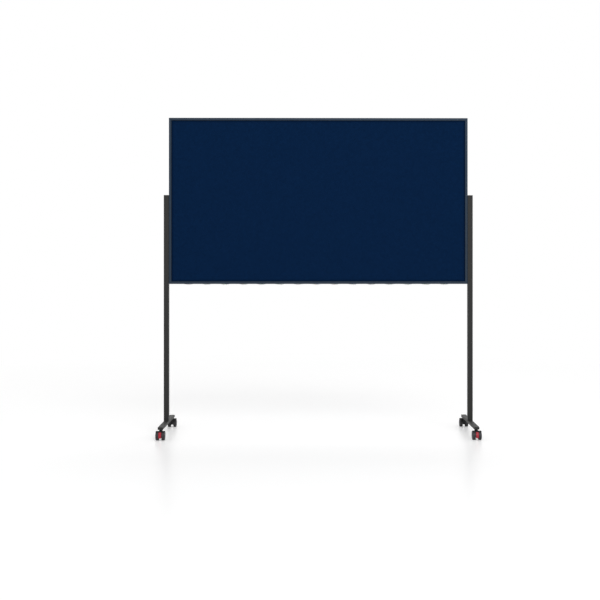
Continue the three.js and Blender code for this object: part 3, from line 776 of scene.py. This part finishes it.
def felt_sheet(name, node, sizes):
    """A felt sheet over one face of the core, pressed in where the rails grip it."""
    low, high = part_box(node)
    outward = 1 if high.y > 0 else -1
    face = high.y if outward > 0 else low.y
    pressed = Vector((0, outward * sizes.felt_tuck, 0))
    if outward > 0:
        piece = block(name, low, high - pressed)
    else:
        piece = block(name, low - pressed, high)
    gripped = RAIL_SLOT - (low.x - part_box("board_core")[0].x) - FELT_UNDER_LIP
    with editing(piece):
        pick_ends(Y, outward)
        inset(gripped)
        quarter = math.pi / 2 / TUCK_STEPS
        for step in range(TUCK_STEPS):
            rise = math.sin(quarter * (step + 1)) - math.sin(quarter * step)
            inset(sizes.tuck_width / TUCK_STEPS, sizes.felt_tuck * rise)
        bpy.ops.mesh.subdivide(number_cuts=FELT_CUTS)
        bpy.ops.mesh.subdivide(number_cuts=1)
    slow, quick = FELT_WAVES
    for vertex in piece.data.vertices:
        if abs(vertex.co.y - face) < PLANE_TOLERANCE:
            wave = noise.noise(vertex.co * slow) + 0.5 * noise.noise(vertex.co * quick)
            vertex.co.y -= outward * sizes.felt_wave * (0.75 + 0.5 * wave)
    return piece


def rail(name, place, sizes, groove=None):
    """A mitred rail. It is made along X with its slot upwards, then put in its place."""
    low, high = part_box(name)
    run = max(high.x - low.x, high.z - low.z)
    face = min(high.x - low.x, high.z - low.z)
    deep = high.y - low.y
    slot_half = deep / 2 - RAIL_LIP
    floor = face - RAIL_SLOT
    piece = block(name + "_profile", (-run / 2, -deep / 2, 0), (run / 2, deep / 2, floor))
    with editing(piece):
        score((0, slot_half, 0), (0, 1, 0))
        score((0, -slot_half, 0), (0, 1, 0))
        pick_faces(lambda centre, normal: normal.z > FACING and abs(centre.y) > slot_half)
        push((0, 0, RAIL_SLOT))
        for side in SIDES.values():
            saw((side * run / 2, 0, 0), (side, 0, 1))
        if groove:
            start, end, half_width, depth = groove
            for x in (start, end):
                score((x, 0, 0), (1, 0, 0))
            for y in (-half_width, half_width):
                score((0, y, 0), (0, 1, 0))
            pick_faces(
                lambda centre, normal: normal.z < -FACING
                and start < centre.x < end
                and abs(centre.y) < half_width
            )
            push((0, 0, depth))
        pick_edges(
            lambda a, b: min(a.z, b.z) > face - PLANE_TOLERANCE
            and abs(b.y - a.y) < PLANE_TOLERANCE
            and abs(a.y) > deep / 2 - PLANE_TOLERANCE
        )
        bevel(sizes.lip_rounding, 5)
    rounded(piece, sizes.rail_rounding)
    smoothed(piece)
    piece.data.transform(place)
    return piece


def clip_strip(sizes):
    """A strip whose rounded lips hang below the bottom rail."""
    low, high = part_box("clip_strip")
    rail_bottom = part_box("bottom_rail")[0].z
    half = STRIP_THICKNESS / 2
    radius = ((LIP_WIDTH / 2) ** 2 + LIP_DROP**2) / (2 * LIP_DROP)
    pitch = (high.x - low.x) / LIP_COUNT
    top = high.z - half / 2
    strip = block("clip_strip_comb", (low.x, -half, rail_bottom), (high.x, half, top))
    head = block("head", (low.x, low.y, high.z - STRIP_HEAD), high)
    join(strip, head)
    first = Vector((low.x + pitch / 2, 0, low.z + radius))
    lip = rod("lip", radius, first - Vector((0, half, 0)), first + Vector((0, half, 0)), 160)
    with editing(lip):
        saw((0, 0, rail_bottom + half / 2), (0, 0, 1))
    lips = [lip]
    for i in range(1, LIP_COUNT):
        lips.append(copied(lip, f"lip_{i}", Matrix.Translation((i * pitch, 0, 0))))
    choose(*lips)
    bpy.ops.object.join()
    join(strip, lip)
    rounded(strip, STRIP_ROUNDING, 2)
    return smoothed(strip)


class PARTITION_OT_board(bpy.types.Operator):
    """Model the felt sheets on the core, and the mitred rails that hold them"""

    bl_idname = "partition.board"
    bl_label = "Board"

    def execute(self, context):
        sizes = context.scene.partition_sizes
        for face in ENDS:
            node = f"{face}_felt"
            piece = smoothed(felt_sheet(f"{face}_felt_sheet", node, sizes), 60)
            finished(piece, node, "felt")
        self.rails(sizes)
        finished(clip_strip(sizes), "clip_strip", "clip")
        return {"FINISHED"}

    def rails(self, sizes):
        """The four rails, each with its outer edge outwards."""
        low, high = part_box("bottom_rail")[0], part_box("top_rail")[1]
        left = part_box("left_side_rail")[0].x
        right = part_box("right_side_rail")[1].x
        height = (low.z + high.z) / 2
        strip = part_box("clip_strip")
        half_slot = STRIP_THICKNESS / 2 + PLUG_GAP
        depth = strip[1].z - low.z + PLUG_GAP
        groove = (strip[0].x - PLUG_GAP, strip[1].x + PLUG_GAP, half_slot, depth)
        quarter = math.pi / 2
        places = {
            "bottom_rail": (Vector((0, 0, low.z)), 0, "rail_across", groove),
            "top_rail": (Vector((0, 0, high.z)), math.pi, "rail_across", None),
            "left_side_rail": (Vector((left, 0, height)), quarter, "rail_upright", None),
            "right_side_rail": (Vector((right, 0, height)), -quarter, "rail_upright", None),
        }
        for node, (at, turn, material, groove) in places.items():
            place = Matrix.Translation(at) @ Matrix.Rotation(turn, 4, "Y")
            finished(rail(node, place, sizes, groove), node, material)


# ------------------------------------------------------------ posts and foot beams


def tube(node, axis, corner):
    """A square tube in a node's box, open at its ends along an axis."""
    low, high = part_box(node)
    piece = rounded_block(node + "_tube", low, high, axis, corner)
    wall = [TUBE_WALL] * 3
    wall[axis] = -TUBE_WALL
    inner = grown(low, high, [-w for w in wall])
    combine(piece, rounded_block("hollow", *inner, axis, corner / 2, 3))
    return piece


def drilled(piece, radius, start, end):
    """Drill a round hole."""
    return combine(piece, rod("drill", radius, start, end, 40))


def cap(node, axis, corner, sizes):
    """A cap in a node's box: a rounded plate, with a plug that fills the tube."""
    low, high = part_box(node)
    outward = 1 if abs(high[axis]) > abs(low[axis]) else -1
    plate_low, plate_high = low.copy(), high.copy()
    plug_low, plug_high = grown(low, high, [-(TUBE_WALL + PLUG_GAP)] * 3)
    plug_low[axis], plug_high[axis] = low[axis], high[axis]
    if outward > 0:
        plate_low[axis] = high[axis] - CAP_PLATE
        plug_high[axis] = high[axis] - CAP_PLATE / 2
    else:
        plate_high[axis] = low[axis] + CAP_PLATE
        plug_low[axis] = low[axis] + CAP_PLATE / 2
    piece = rounded_block(node + "_moulding", plate_low, plate_high, axis, corner)
    with editing(piece):
        pick_ends(axis, outward)
        bevel(sizes.cap_rounding, 4)
    return join(piece, block("plug", plug_low, plug_high))


class PARTITION_OT_posts(bpy.types.Operator):
    """Model the two square posts, with their caps and the plugs in their bolt holes"""

    bl_idname = "partition.posts"
    bl_label = "Posts"

    def execute(self, context):
        sizes = context.scene.partition_sizes
        for side, outward in SIDES.items():
            post = tube(f"{side}_post", Z, sizes.post_corner)
            for level in ("upper", "lower"):
                plug = f"{side}_{level}_hole_plug"
                centre = middle(plug)
                across = Vector((outward * DRILL_REACH, 0, 0))
                drilled(post, ACCESS_HOLE, centre - across, centre + across)
                self.plug(plug, outward, sizes)
            finished(smoothed(rounded(post, EDGE_BREAK, 2)), f"{side}_post", "post")
            node = f"{side}_post_cap"
            finished(smoothed(cap(node, Z, sizes.post_corner, sizes)), node, "graphite")
        return {"FINISHED"}

    def plug(self, node, outward, sizes):
        """A dished plug that lies just below the post's face."""
        low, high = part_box(node)
        centre = (low + high) / 2
        outer, inner = (high.x, low.x) if outward > 0 else (low.x, high.x)
        shoulder = outer - outward * (TUBE_WALL + PLUG_GAP)
        start = (inner, centre.y, centre.z)
        piece = rod(
            node + "_moulding", ACCESS_HOLE - PLUG_GAP, start, (outer, centre.y, centre.z), 64
        )
        with editing(piece):
            pick_ends(X, outward)
            bevel(PLUG_ROUNDING, 3)
            pick_ends(X, outward, FLAT)
            for width, depth in PLUG_DISH:
                inset(width, depth)
        ridge = (high.z - low.z) / 2
        join(piece, rod("ridge", ridge, start, (shoulder, centre.y, centre.z), 64))
        finished(smoothed(piece), node, "black")


class PARTITION_OT_foot_beams(bpy.types.Operator):
    """Model the foot beams, drilled for their bolts and casters, and their end caps"""

    bl_idname = "partition.foot_beams"
    bl_label = "Foot beams"

    def execute(self, context):
        sizes = context.scene.partition_sizes
        for side in SIDES:
            node = f"{side}_foot_beam"
            beam = tube(node, Y, sizes.beam_corner)
            low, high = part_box(node)
            height = (low.z + high.z) / 2
            for end in ENDS:
                bolt = middle(f"{side}_{end}_base_bolt")
                top = (bolt.x, bolt.y, high.z + TUBE_WALL)
                bottom = (bolt.x, bolt.y, low.z - TUBE_WALL)
                centre = (bolt.x, bolt.y, height)
                drilled(beam, BOLT_HOLE, centre, top)
                drilled(beam, ACCESS_HOLE, bottom, centre)
                stem = middle(f"{end}_{side}_caster_stem")
                below = (stem.x, stem.y, low.z - TUBE_WALL)
                drilled(beam, STEM_RADIUS + PLUG_GAP, below, (stem.x, stem.y, height))
            finished(smoothed(rounded(beam, EDGE_BREAK, 2)), node, "post")
            for end in ENDS:
                self.end_cap(end, side, sizes)
        return {"FINISHED"}

    def end_cap(self, end, side, sizes):
        """A beam's end cap, bored for the caster's stem."""
        node = f"{end}_{side}_beam_cap"
        piece = cap(node, Y, sizes.beam_corner, sizes)
        stem = middle(f"{end}_{side}_caster_stem")
        low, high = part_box(node)
        bore = [(stem.x, stem.y, z) for z in (low.z - TUBE_WALL, high.z + TUBE_WALL)]
        drilled(piece, STEM_RADIUS + PLUG_GAP, *bore)
        finished(smoothed(piece), node, "graphite")


# ------------------------------------------------------------ casters
# A caster is modelled with its stem axis at x = y = 0 and its wheels trailing towards -Y.


def caster_place(end, side):
    """The matrix from a caster's own space to the partition's. Rear casters are turned."""
    stem = middle(f"{end}_{side}_caster_stem")
    turn = Matrix.Rotation(0 if end == "front" else math.pi, 4, "Z")
    return Matrix.Translation((stem.x, stem.y, 0)) @ turn


def spread(pattern, part, suffix, finish, body, ends=ENDS):
    """Put a copy of a caster's pattern at its place in each caster, and remove the pattern."""
    for end, side in [(end, side) for end in ends for side in SIDES]:
        node = f"{end}_{side}_{part}"
        piece = copied(pattern, f"{node}_{suffix}", caster_place(end, side))
        finished(piece, node, finish, body=body.format(corner=f"{end}_{side}"))
    removed(pattern)


def own_centre(node):
    """The (y, z) centre of one of the front left caster's nodes, in the caster's own space."""
    centre = caster_place("front", "left").inverted() @ middle(node)
    return centre.y, centre.z


def polar(centre, radius, angle):
    """A (y, z) point at a radius and an angle in degrees about a centre."""
    turn = math.radians(angle)
    return centre[0] + radius * math.cos(turn), centre[1] + radius * math.sin(turn)


def sector(name, centre, inner, outer, start, end, half_width, steps):
    """A ring segment about X: an upright strip at its first angle, spun to its last."""
    bpy.ops.object.select_all(action="DESELECT")
    bpy.ops.mesh.primitive_plane_add(size=1, location=(0, (inner + outer) / 2, 0))
    bpy.context.object.scale = (2 * half_width, outer - inner, 1)
    piece = settled(name)
    axis_place = Matrix.Translation((0, *centre))
    piece.data.transform(axis_place @ Matrix.Rotation(math.radians(start), 4, "X"))
    with editing(piece):
        bpy.ops.mesh.select_all(action="SELECT")
        bpy.ops.mesh.spin(
            steps=steps,
            angle=-math.radians(end - start),
            center=(0, *centre),
            axis=(1, 0, 0),
        )
        bpy.ops.mesh.select_all(action="SELECT")
        bpy.ops.mesh.normals_make_consistent(inside=False)
    return piece


def wheel_pattern(sizes):
    """A wheel on the X axis, with its hub face at x = 0 and its domed disc towards +X."""
    low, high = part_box("front_left_right_wheel")
    radius = (high.z - low.z) / 2
    tread = high.x - low.x - sizes.wheel_bulge
    reach = radius - sizes.tread_shoulder
    piece = rod("wheel", radius, (0, 0, 0), (tread, 0, 0), 96)
    with editing(piece):
        pick_ends(X)
        bevel(sizes.tread_shoulder, 4)
        pick_ends(X, 1, FLAT)
        for ring in range(DISC_RINGS - 1):
            before, after = 1 - ring / DISC_RINGS, 1 - (ring + 1) / DISC_RINGS
            inset(reach * (before - after), sizes.wheel_bulge * (before**2 - after**2))
            if ring + 1 == SCORED_RING:
                width, depth = DISC_GROOVE
                inset(width, -depth)
                inset(width)
                inset(width, depth)
        pick_ends(X, -1, FLAT)
        inset(RIM - sizes.tread_shoulder)
        push((RECESS, 0, 0))
        inset(radius - RIM - HUB_RADIUS)
        push((-RECESS, 0, 0))
        inset(HUB_RADIUS - SPINDLE_RADIUS)
        push((tread - HUB_END, 0, 0))
    smoothed(piece, 35)
    for face in piece.data.polygons:
        distance = math.hypot(face.center.y, face.center.z)
        face.material_index = 1 if distance > radius - sizes.tread_shoulder * 0.9 else 0
    return piece


def hood_pattern(name, tail, sizes):
    """A hood: its web between the wheels, with an arch below, and the guard over them."""
    axle = own_centre("front_left_caster_axle")
    half = HOOD_WIDTH / 2
    bottom = axle[1] - HOOD_BELOW_AXLE
    top = 2 * axle[1] - COLLAR_SINK / 2
    web = cross_rod(name, tail, half + CUT_MARGIN, axle, 72)
    wide = half + 2 * CUT_MARGIN
    neck = block("neck", (-wide, axle[0], bottom - CUT_MARGIN), (wide, COLLAR_RADIUS, top))
    with editing(neck):
        slope = (0, axle[1] + HOOD_BELOW_AXLE - bottom, -COLLAR_RADIUS)
        saw((0, 0, bottom), slope)
    join(web, neck)
    outer = GUARD_INNER + GUARD_THICKNESS / 2
    inner = tail - GUARD_ROOT
    wide = half + 3 * CUT_MARGIN
    join(web, sector("rib", axle, inner, outer, GUARD_START, GUARD_END, wide, 28))
    with editing(web):
        saw((0, 0, bottom), (0, 0, -1))
        for side in SIDES.values():
            saw((side * half, 0, 0), (side, 0, 0))
    low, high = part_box("front_left_caster_hood")
    outer = GUARD_INNER + GUARD_THICKNESS
    reach = (high.x - low.x) / 2
    guard = sector("guard", axle, GUARD_INNER, outer, GUARD_START, GUARD_END, reach, 28)
    return join(web, guard)


def collared(hood, sizes):
    """Round a hood's edges and give it the collar that turns on the stem."""
    low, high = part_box("front_left_caster_hood")
    rounded(hood, sizes.hood_rounding, 3, 50)
    sink = 2 * own_centre("front_left_caster_axle")[1] - COLLAR_SINK
    collar = rod("collar", COLLAR_RADIUS, (0, 0, sink), (0, 0, high.z), 96)
    with editing(collar):
        pick_ends(Z, 1)
        bevel(COLLAR_ROUNDING, 3)
    join(hood, collar)
    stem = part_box("front_left_caster_stem")
    drilled(hood, STEM_RADIUS + PIN_PLAY, (0, 0, stem[0].z - PLUG_GAP), (0, 0, stem[1].z))
    return smoothed(hood, 35)


def braked_hood(sizes):
    """A front hood, cut back for its pedal and slotted for the pedal's arm."""
    pivot = own_centre("front_left_lever_pin")
    hood = hood_pattern("braked_hood", BRAKED_HOOD_TAIL, sizes)
    inner = LEVER_BACK - ROOM_PLAY
    combine(hood, sector("room", pivot, inner, ROOM_OUTER, ROOM_START, ROOM_END, HOOD_WIDTH, 18))
    eye = EYE_RADIUS + PIN_PLAY
    half = ARM_WIDTH / 2 + PIN_PLAY
    reach = LEVER_BACK + LEVER_PROUD
    slot = block(
        "slot",
        (-half, pivot[0] - reach, pivot[1] - 0.012),
        (half, pivot[0] + eye, pivot[1] + 0.012),
    )
    with editing(slot):
        far = polar(pivot, reach, SLOT_LOW_END)
        run = (pivot[0] + eye - far[0], pivot[1] - eye - far[1])
        saw((0, *far), (0, run[1], -run[0]))
        saw((0, pivot[0] + eye, pivot[1] + eye), (0, ARM_RISE, 1))
    combine(hood, slot)
    return collared(hood, sizes)


def lever_pattern(sizes):
    """The brake lever: a pedal round the wheels' front, its arm, its eye and two pads."""
    axle = own_centre("front_left_caster_axle")
    pivot = own_centre("front_left_lever_pin")
    outer = axle[1] + LEVER_PROUD
    half = HOOD_WIDTH / 2
    pedal = sector("lever", axle, 0.007, outer, LEVER_TOP, LEVER_BOTTOM, half, 22)
    combine(pedal, cross_rod("back", LEVER_BACK, 2 * half, pivot, 90))
    top = polar(axle, outer, LEVER_TOP)
    behind = (pivot[0] - LEVER_BACK, pivot[1])
    lowest = pivot[1] - 2 * EYE_RADIUS
    rest = block("rest", (-3 * half, 2 * top[0], lowest), (3 * half, 0, 2 * pivot[1]))
    with editing(rest):
        run = (top[0] - behind[0], top[1] - behind[1])
        saw((0, *behind), (0, -run[1], run[0]))
    combine(pedal, rest)
    with editing(pedal):
        low_end = polar(axle, outer, LEVER_BOTTOM)
        back_end = polar(pivot, LEVER_BACK, LEVER_BACK_END)
        run = (back_end[0] - low_end[0], back_end[1] - low_end[1])
        saw((0, *low_end), (0, run[1], -run[0]))
    rounded(pedal, sizes.lever_rounding, 3, 40)
    for i in range(sizes.grip_count):
        centre = polar(axle, outer + GROOVE_CENTRE, GROOVE_START + GROOVE_PITCH * i)
        combine(pedal, cross_rod("groove", GROOVE_RADIUS, half + CUT_MARGIN, centre, 16))
    join(pedal, lever_arm(pivot, behind))
    reach = half + PAD_LENGTH
    pad = polar(pivot, LEVER_BACK + PAD_RADIUS, LEVER_BACK_END)
    join(pedal, cross_rod("pads", PAD_RADIUS, reach, pad, 24))
    drill = cross_rod("bore", PIN_RADIUS + PIN_PLAY, half, pivot, 32)
    return smoothed(combine(pedal, drill), 35)


def lever_arm(pivot, behind):
    """The arm from the pedal's back to the eye on the pin."""
    half = ARM_WIDTH / 2
    low = (-half, behind[0] - ARM_BITE, pivot[1] - EYE_RADIUS)
    arm = block("arm", low, (half, pivot[0], pivot[1] + ARM_HEIGHT))
    with editing(arm):
        saw((0, pivot[0], pivot[1] + EYE_RADIUS), (0, ARM_RISE, 1))
    join(arm, cross_rod("eye", EYE_RADIUS, half, pivot, 40))
    rounded(arm, ARM_ROUNDING, 2, 50)
    with editing(arm):
        bpy.ops.mesh.select_all(action="SELECT")
        bpy.ops.mesh.quads_convert_to_tris()
    return arm


class PARTITION_OT_stems(bpy.types.Operator):
    """Model the threaded stems, with the hexagon that a spanner turns"""

    bl_idname = "partition.stems"
    bl_label = "Caster stems"

    def execute(self, context):
        low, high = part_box("front_left_caster_stem")
        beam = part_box("left_foot_beam")[0].z
        across = (high.y - low.y) / 2
        hexagon = rod("stem", across, (0, 0, beam - HEXAGON), (0, 0, beam - PLUG_GAP), 6)
        pin = rod("pin", STEM_RADIUS, (0, 0, low.z), (0, 0, high.z), 48)
        for piece, radius in ((hexagon, HEXAGON_ROUNDING), (pin, PIN_ROUNDING)):
            with editing(piece):
                pick_ends(Z)
                bevel(radius, 2)
        stem = smoothed(join(hexagon, pin))
        spread(stem, "caster_stem", "turned", "black_steel", "stand")
        return {"FINISHED"}


class PARTITION_OT_hoods(bpy.types.Operator):
    """Model the caster hoods, two with room for a brake pedal and two without"""

    bl_idname = "partition.hoods"
    bl_label = "Caster hoods"

    def execute(self, context):
        sizes = context.scene.partition_sizes
        patterns = {
            "front": braked_hood(sizes),
            "rear": collared(hood_pattern("free_hood", FREE_HOOD_TAIL, sizes), sizes),
        }
        for end, hood in patterns.items():
            spread(hood, "caster_hood", "moulding", "black", "{corner}_fork", [end])
        return {"FINISHED"}


class PARTITION_OT_wheels(bpy.types.Operator):
    """Model the eight caster wheels, with their treads and hollow backs"""

    bl_idname = "partition.wheels"
    bl_label = "Wheels"

    def execute(self, context):
        pattern = wheel_pattern(context.scene.partition_sizes)
        for end, side in CORNERS:
            axle = middle(f"{end}_{side}_caster_axle")
            for hand, outward in SIDES.items():
                node = f"{end}_{side}_{hand}_wheel"
                low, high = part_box(node)
                inner = low.x if outward > 0 else high.x
                turn = Matrix.Rotation(0 if outward > 0 else math.pi, 4, "Z")
                place = Matrix.Translation((inner, axle.y, axle.z)) @ turn
                piece = copied(pattern, node + "_moulding", place)
                finished(piece, node, "disc", "tread", body=node)
        removed(pattern)
        return {"FINISHED"}


class PARTITION_OT_brake_levers(bpy.types.Operator):
    """Model the red brake levers of the front casters"""

    bl_idname = "partition.brake_levers"
    bl_label = "Brake levers"

    def execute(self, context):
        pattern = lever_pattern(context.scene.partition_sizes)
        for side in SIDES:
            node = f"front_{side}_brake_lever"
            piece = copied(pattern, node + "_moulding", caster_place("front", side))
            finished(piece, node, "red", body=node)
        removed(pattern)
        return {"FINISHED"}


class PARTITION_OT_inner_parts(bpy.types.Operator):
    """Finish the frame's own pieces that stay: core, keys, inserts, bolts, axles and pins"""

    bl_idname = "partition.inner_parts"
    bl_label = "Inner parts"

    def execute(self, context):
        for name, node in frame["nodes"].items():
            if not node.hide_render:
                node.data.materials.clear()
                node.data.materials.append(MATERIALS[INNER_FINISHES[SLOTS[name]]])
        return {"FINISHED"}


class PARTITION_OT_materials(bpy.types.Operator):
    """Make the finishes that the pieces share"""

    bl_idname = "partition.materials"
    bl_label = "Materials"

    def execute(self, context):
        scene = context.scene
        MATERIALS.update(build_materials(scene.partition_colours, scene.partition_sizes))
        return {"FINISHED"}


# ------------------------------------------------------------ stage


def sky_world(strength):
    """An even white sky: full white where it is seen, and weaker as a light."""
    world = bpy.data.worlds.new("white_sky")
    world.use_nodes = True
    tree = world.node_tree
    path = add_node(tree, "LightPath").outputs
    seen = arithmetic(tree, "MAXIMUM", path["Is Camera Ray"], path["Is Glossy Ray"])
    seen = arithmetic(tree, "MAXIMUM", seen, path["Is Transmission Ray"])
    level = ranged(tree, seen, strength, 1.0, 0.0, 1.0)
    background = tree.nodes["Background"]
    background.inputs["Color"].default_value = (1, 1, 1, 1)
    tree.links.new(level, background.inputs["Strength"])
    bpy.context.scene.world = world


def floor_material(reflectance):
    """A pale smooth floor that fades to white far from the partition."""
    finish = Finish(
        "pale_floor",
        Base_Color=(reflectance, reflectance, reflectance, 1),
        Roughness=0.3,
        Specular_IOR_Level=0.12,
    )
    tree = finish.tree
    output = tree.nodes["Material Output"]
    away = add_node(tree, "VectorMath", {0: object_place(tree)}, operation="LENGTH")
    fade = ranged(tree, away.outputs["Value"], 0.0, 1.0, *FLOOR_FADE)
    path = add_node(tree, "LightPath").outputs
    white = add_node(tree, "Emission", {"Color": (1, 1, 1, 1), "Strength": 1.0})
    lift = ranged(tree, path["Is Camera Ray"], 0.0, FLOOR_LIFT, 0.0, 1.0)
    glow = add_node(tree, "Emission", {"Color": (1, 1, 1, 1), "Strength": lift})
    lit = add_node(tree, "AddShader", {0: finish.shader.outputs[0], 1: glow.outputs[0]})
    mixed = add_node(tree, "MixShader", {0: fade, 1: lit.outputs[0], 2: white.outputs[0]})
    tree.links.new(mixed.outputs[0], output.inputs["Surface"])
    return finish.material


class PARTITION_OT_stage(bpy.types.Operator):
    """Set the floor, the light and the camera"""

    bl_idname = "partition.stage"
    bl_label = "Stage"

    def execute(self, context):
        stage = context.scene.partition_stage
        bpy.ops.object.select_all(action="DESELECT")
        bpy.ops.mesh.primitive_circle_add(vertices=96, radius=FLOOR_RADIUS, fill_type="NGON")
        floor = settled("floor")
        floor.data.materials.append(floor_material(stage.floor))
        sky_world(stage.sky)
        for name, (place, width) in LAMPS.items():
            self.lamp(name + "_light", place, width, getattr(stage, name))
        turn = Matrix.Rotation(stage.turn, 3, "Z")
        bpy.ops.object.camera_add(
            location=turn @ Vector((0, -stage.distance, stage.eye_height)),
            rotation=(math.pi / 2, 0, stage.turn),
        )
        camera = context.object
        camera.data.lens = stage.lens
        camera.data.shift_x = stage.shift_x
        camera.data.shift_y = stage.shift_y
        context.scene.camera = camera
        context.scene.view_settings.view_transform = "Standard"
        return {"FINISHED"}

    def lamp(self, name, place, width, power):
        """A square lamp that faces the middle of the partition."""
        aim = Vector(LAMP_TARGET) - Vector(place)
        bpy.ops.object.light_add(
            type="AREA", location=place, rotation=aim.to_track_quat("-Z", "Y").to_euler()
        )
        light = bpy.context.object
        light.name = name
        light.data.size = width
        light.data.energy = power


# ------------------------------------------------------------ add-on


class PARTITION_PT_panel(bpy.types.Panel):
    """Lists the partition's sizes, its colours and the steps that build it"""

    bl_idname = "PARTITION_PT_panel"
    bl_label = "Rolling Partition"
    bl_space_type = "VIEW_3D"
    bl_region_type = "UI"
    bl_category = "Partition"

    def draw(self, context):
        for step in STEPS:
            self.layout.operator(step.bl_idname)
        scene = context.scene
        for group in (scene.partition_sizes, scene.partition_colours, scene.partition_stage):
            box = self.layout.box()
            for name in group.__annotations__:
                box.prop(group, name, text=name.replace("_", " ").capitalize())


GROUPS = {
    "partition_sizes": PartitionSizes,
    "partition_colours": PartitionColours,
    "partition_stage": PartitionStage,
}
STEPS = (
    PARTITION_OT_materials,
    PARTITION_OT_board,
    PARTITION_OT_posts,
    PARTITION_OT_foot_beams,
    PARTITION_OT_stems,
    PARTITION_OT_hoods,
    PARTITION_OT_wheels,
    PARTITION_OT_brake_levers,
    PARTITION_OT_inner_parts,
    PARTITION_OT_stage,
)


def register():
    for cls in (*GROUPS.values(), *STEPS, PARTITION_PT_panel):
        bpy.utils.register_class(cls)
    for name, cls in GROUPS.items():
        setattr(bpy.types.Scene, name, PointerProperty(type=cls))


def unregister():
    for name in GROUPS:
        delattr(bpy.types.Scene, name)
    for cls in reversed((*GROUPS.values(), *STEPS, PARTITION_PT_panel)):
        bpy.utils.unregister_class(cls)


def main():
    """Build the partition and its stage."""
    register()
    for step in STEPS:
        group, name = step.bl_idname.split(".")
        getattr(getattr(bpy.ops, group), name)()


if __name__ == "__main__":
    main()
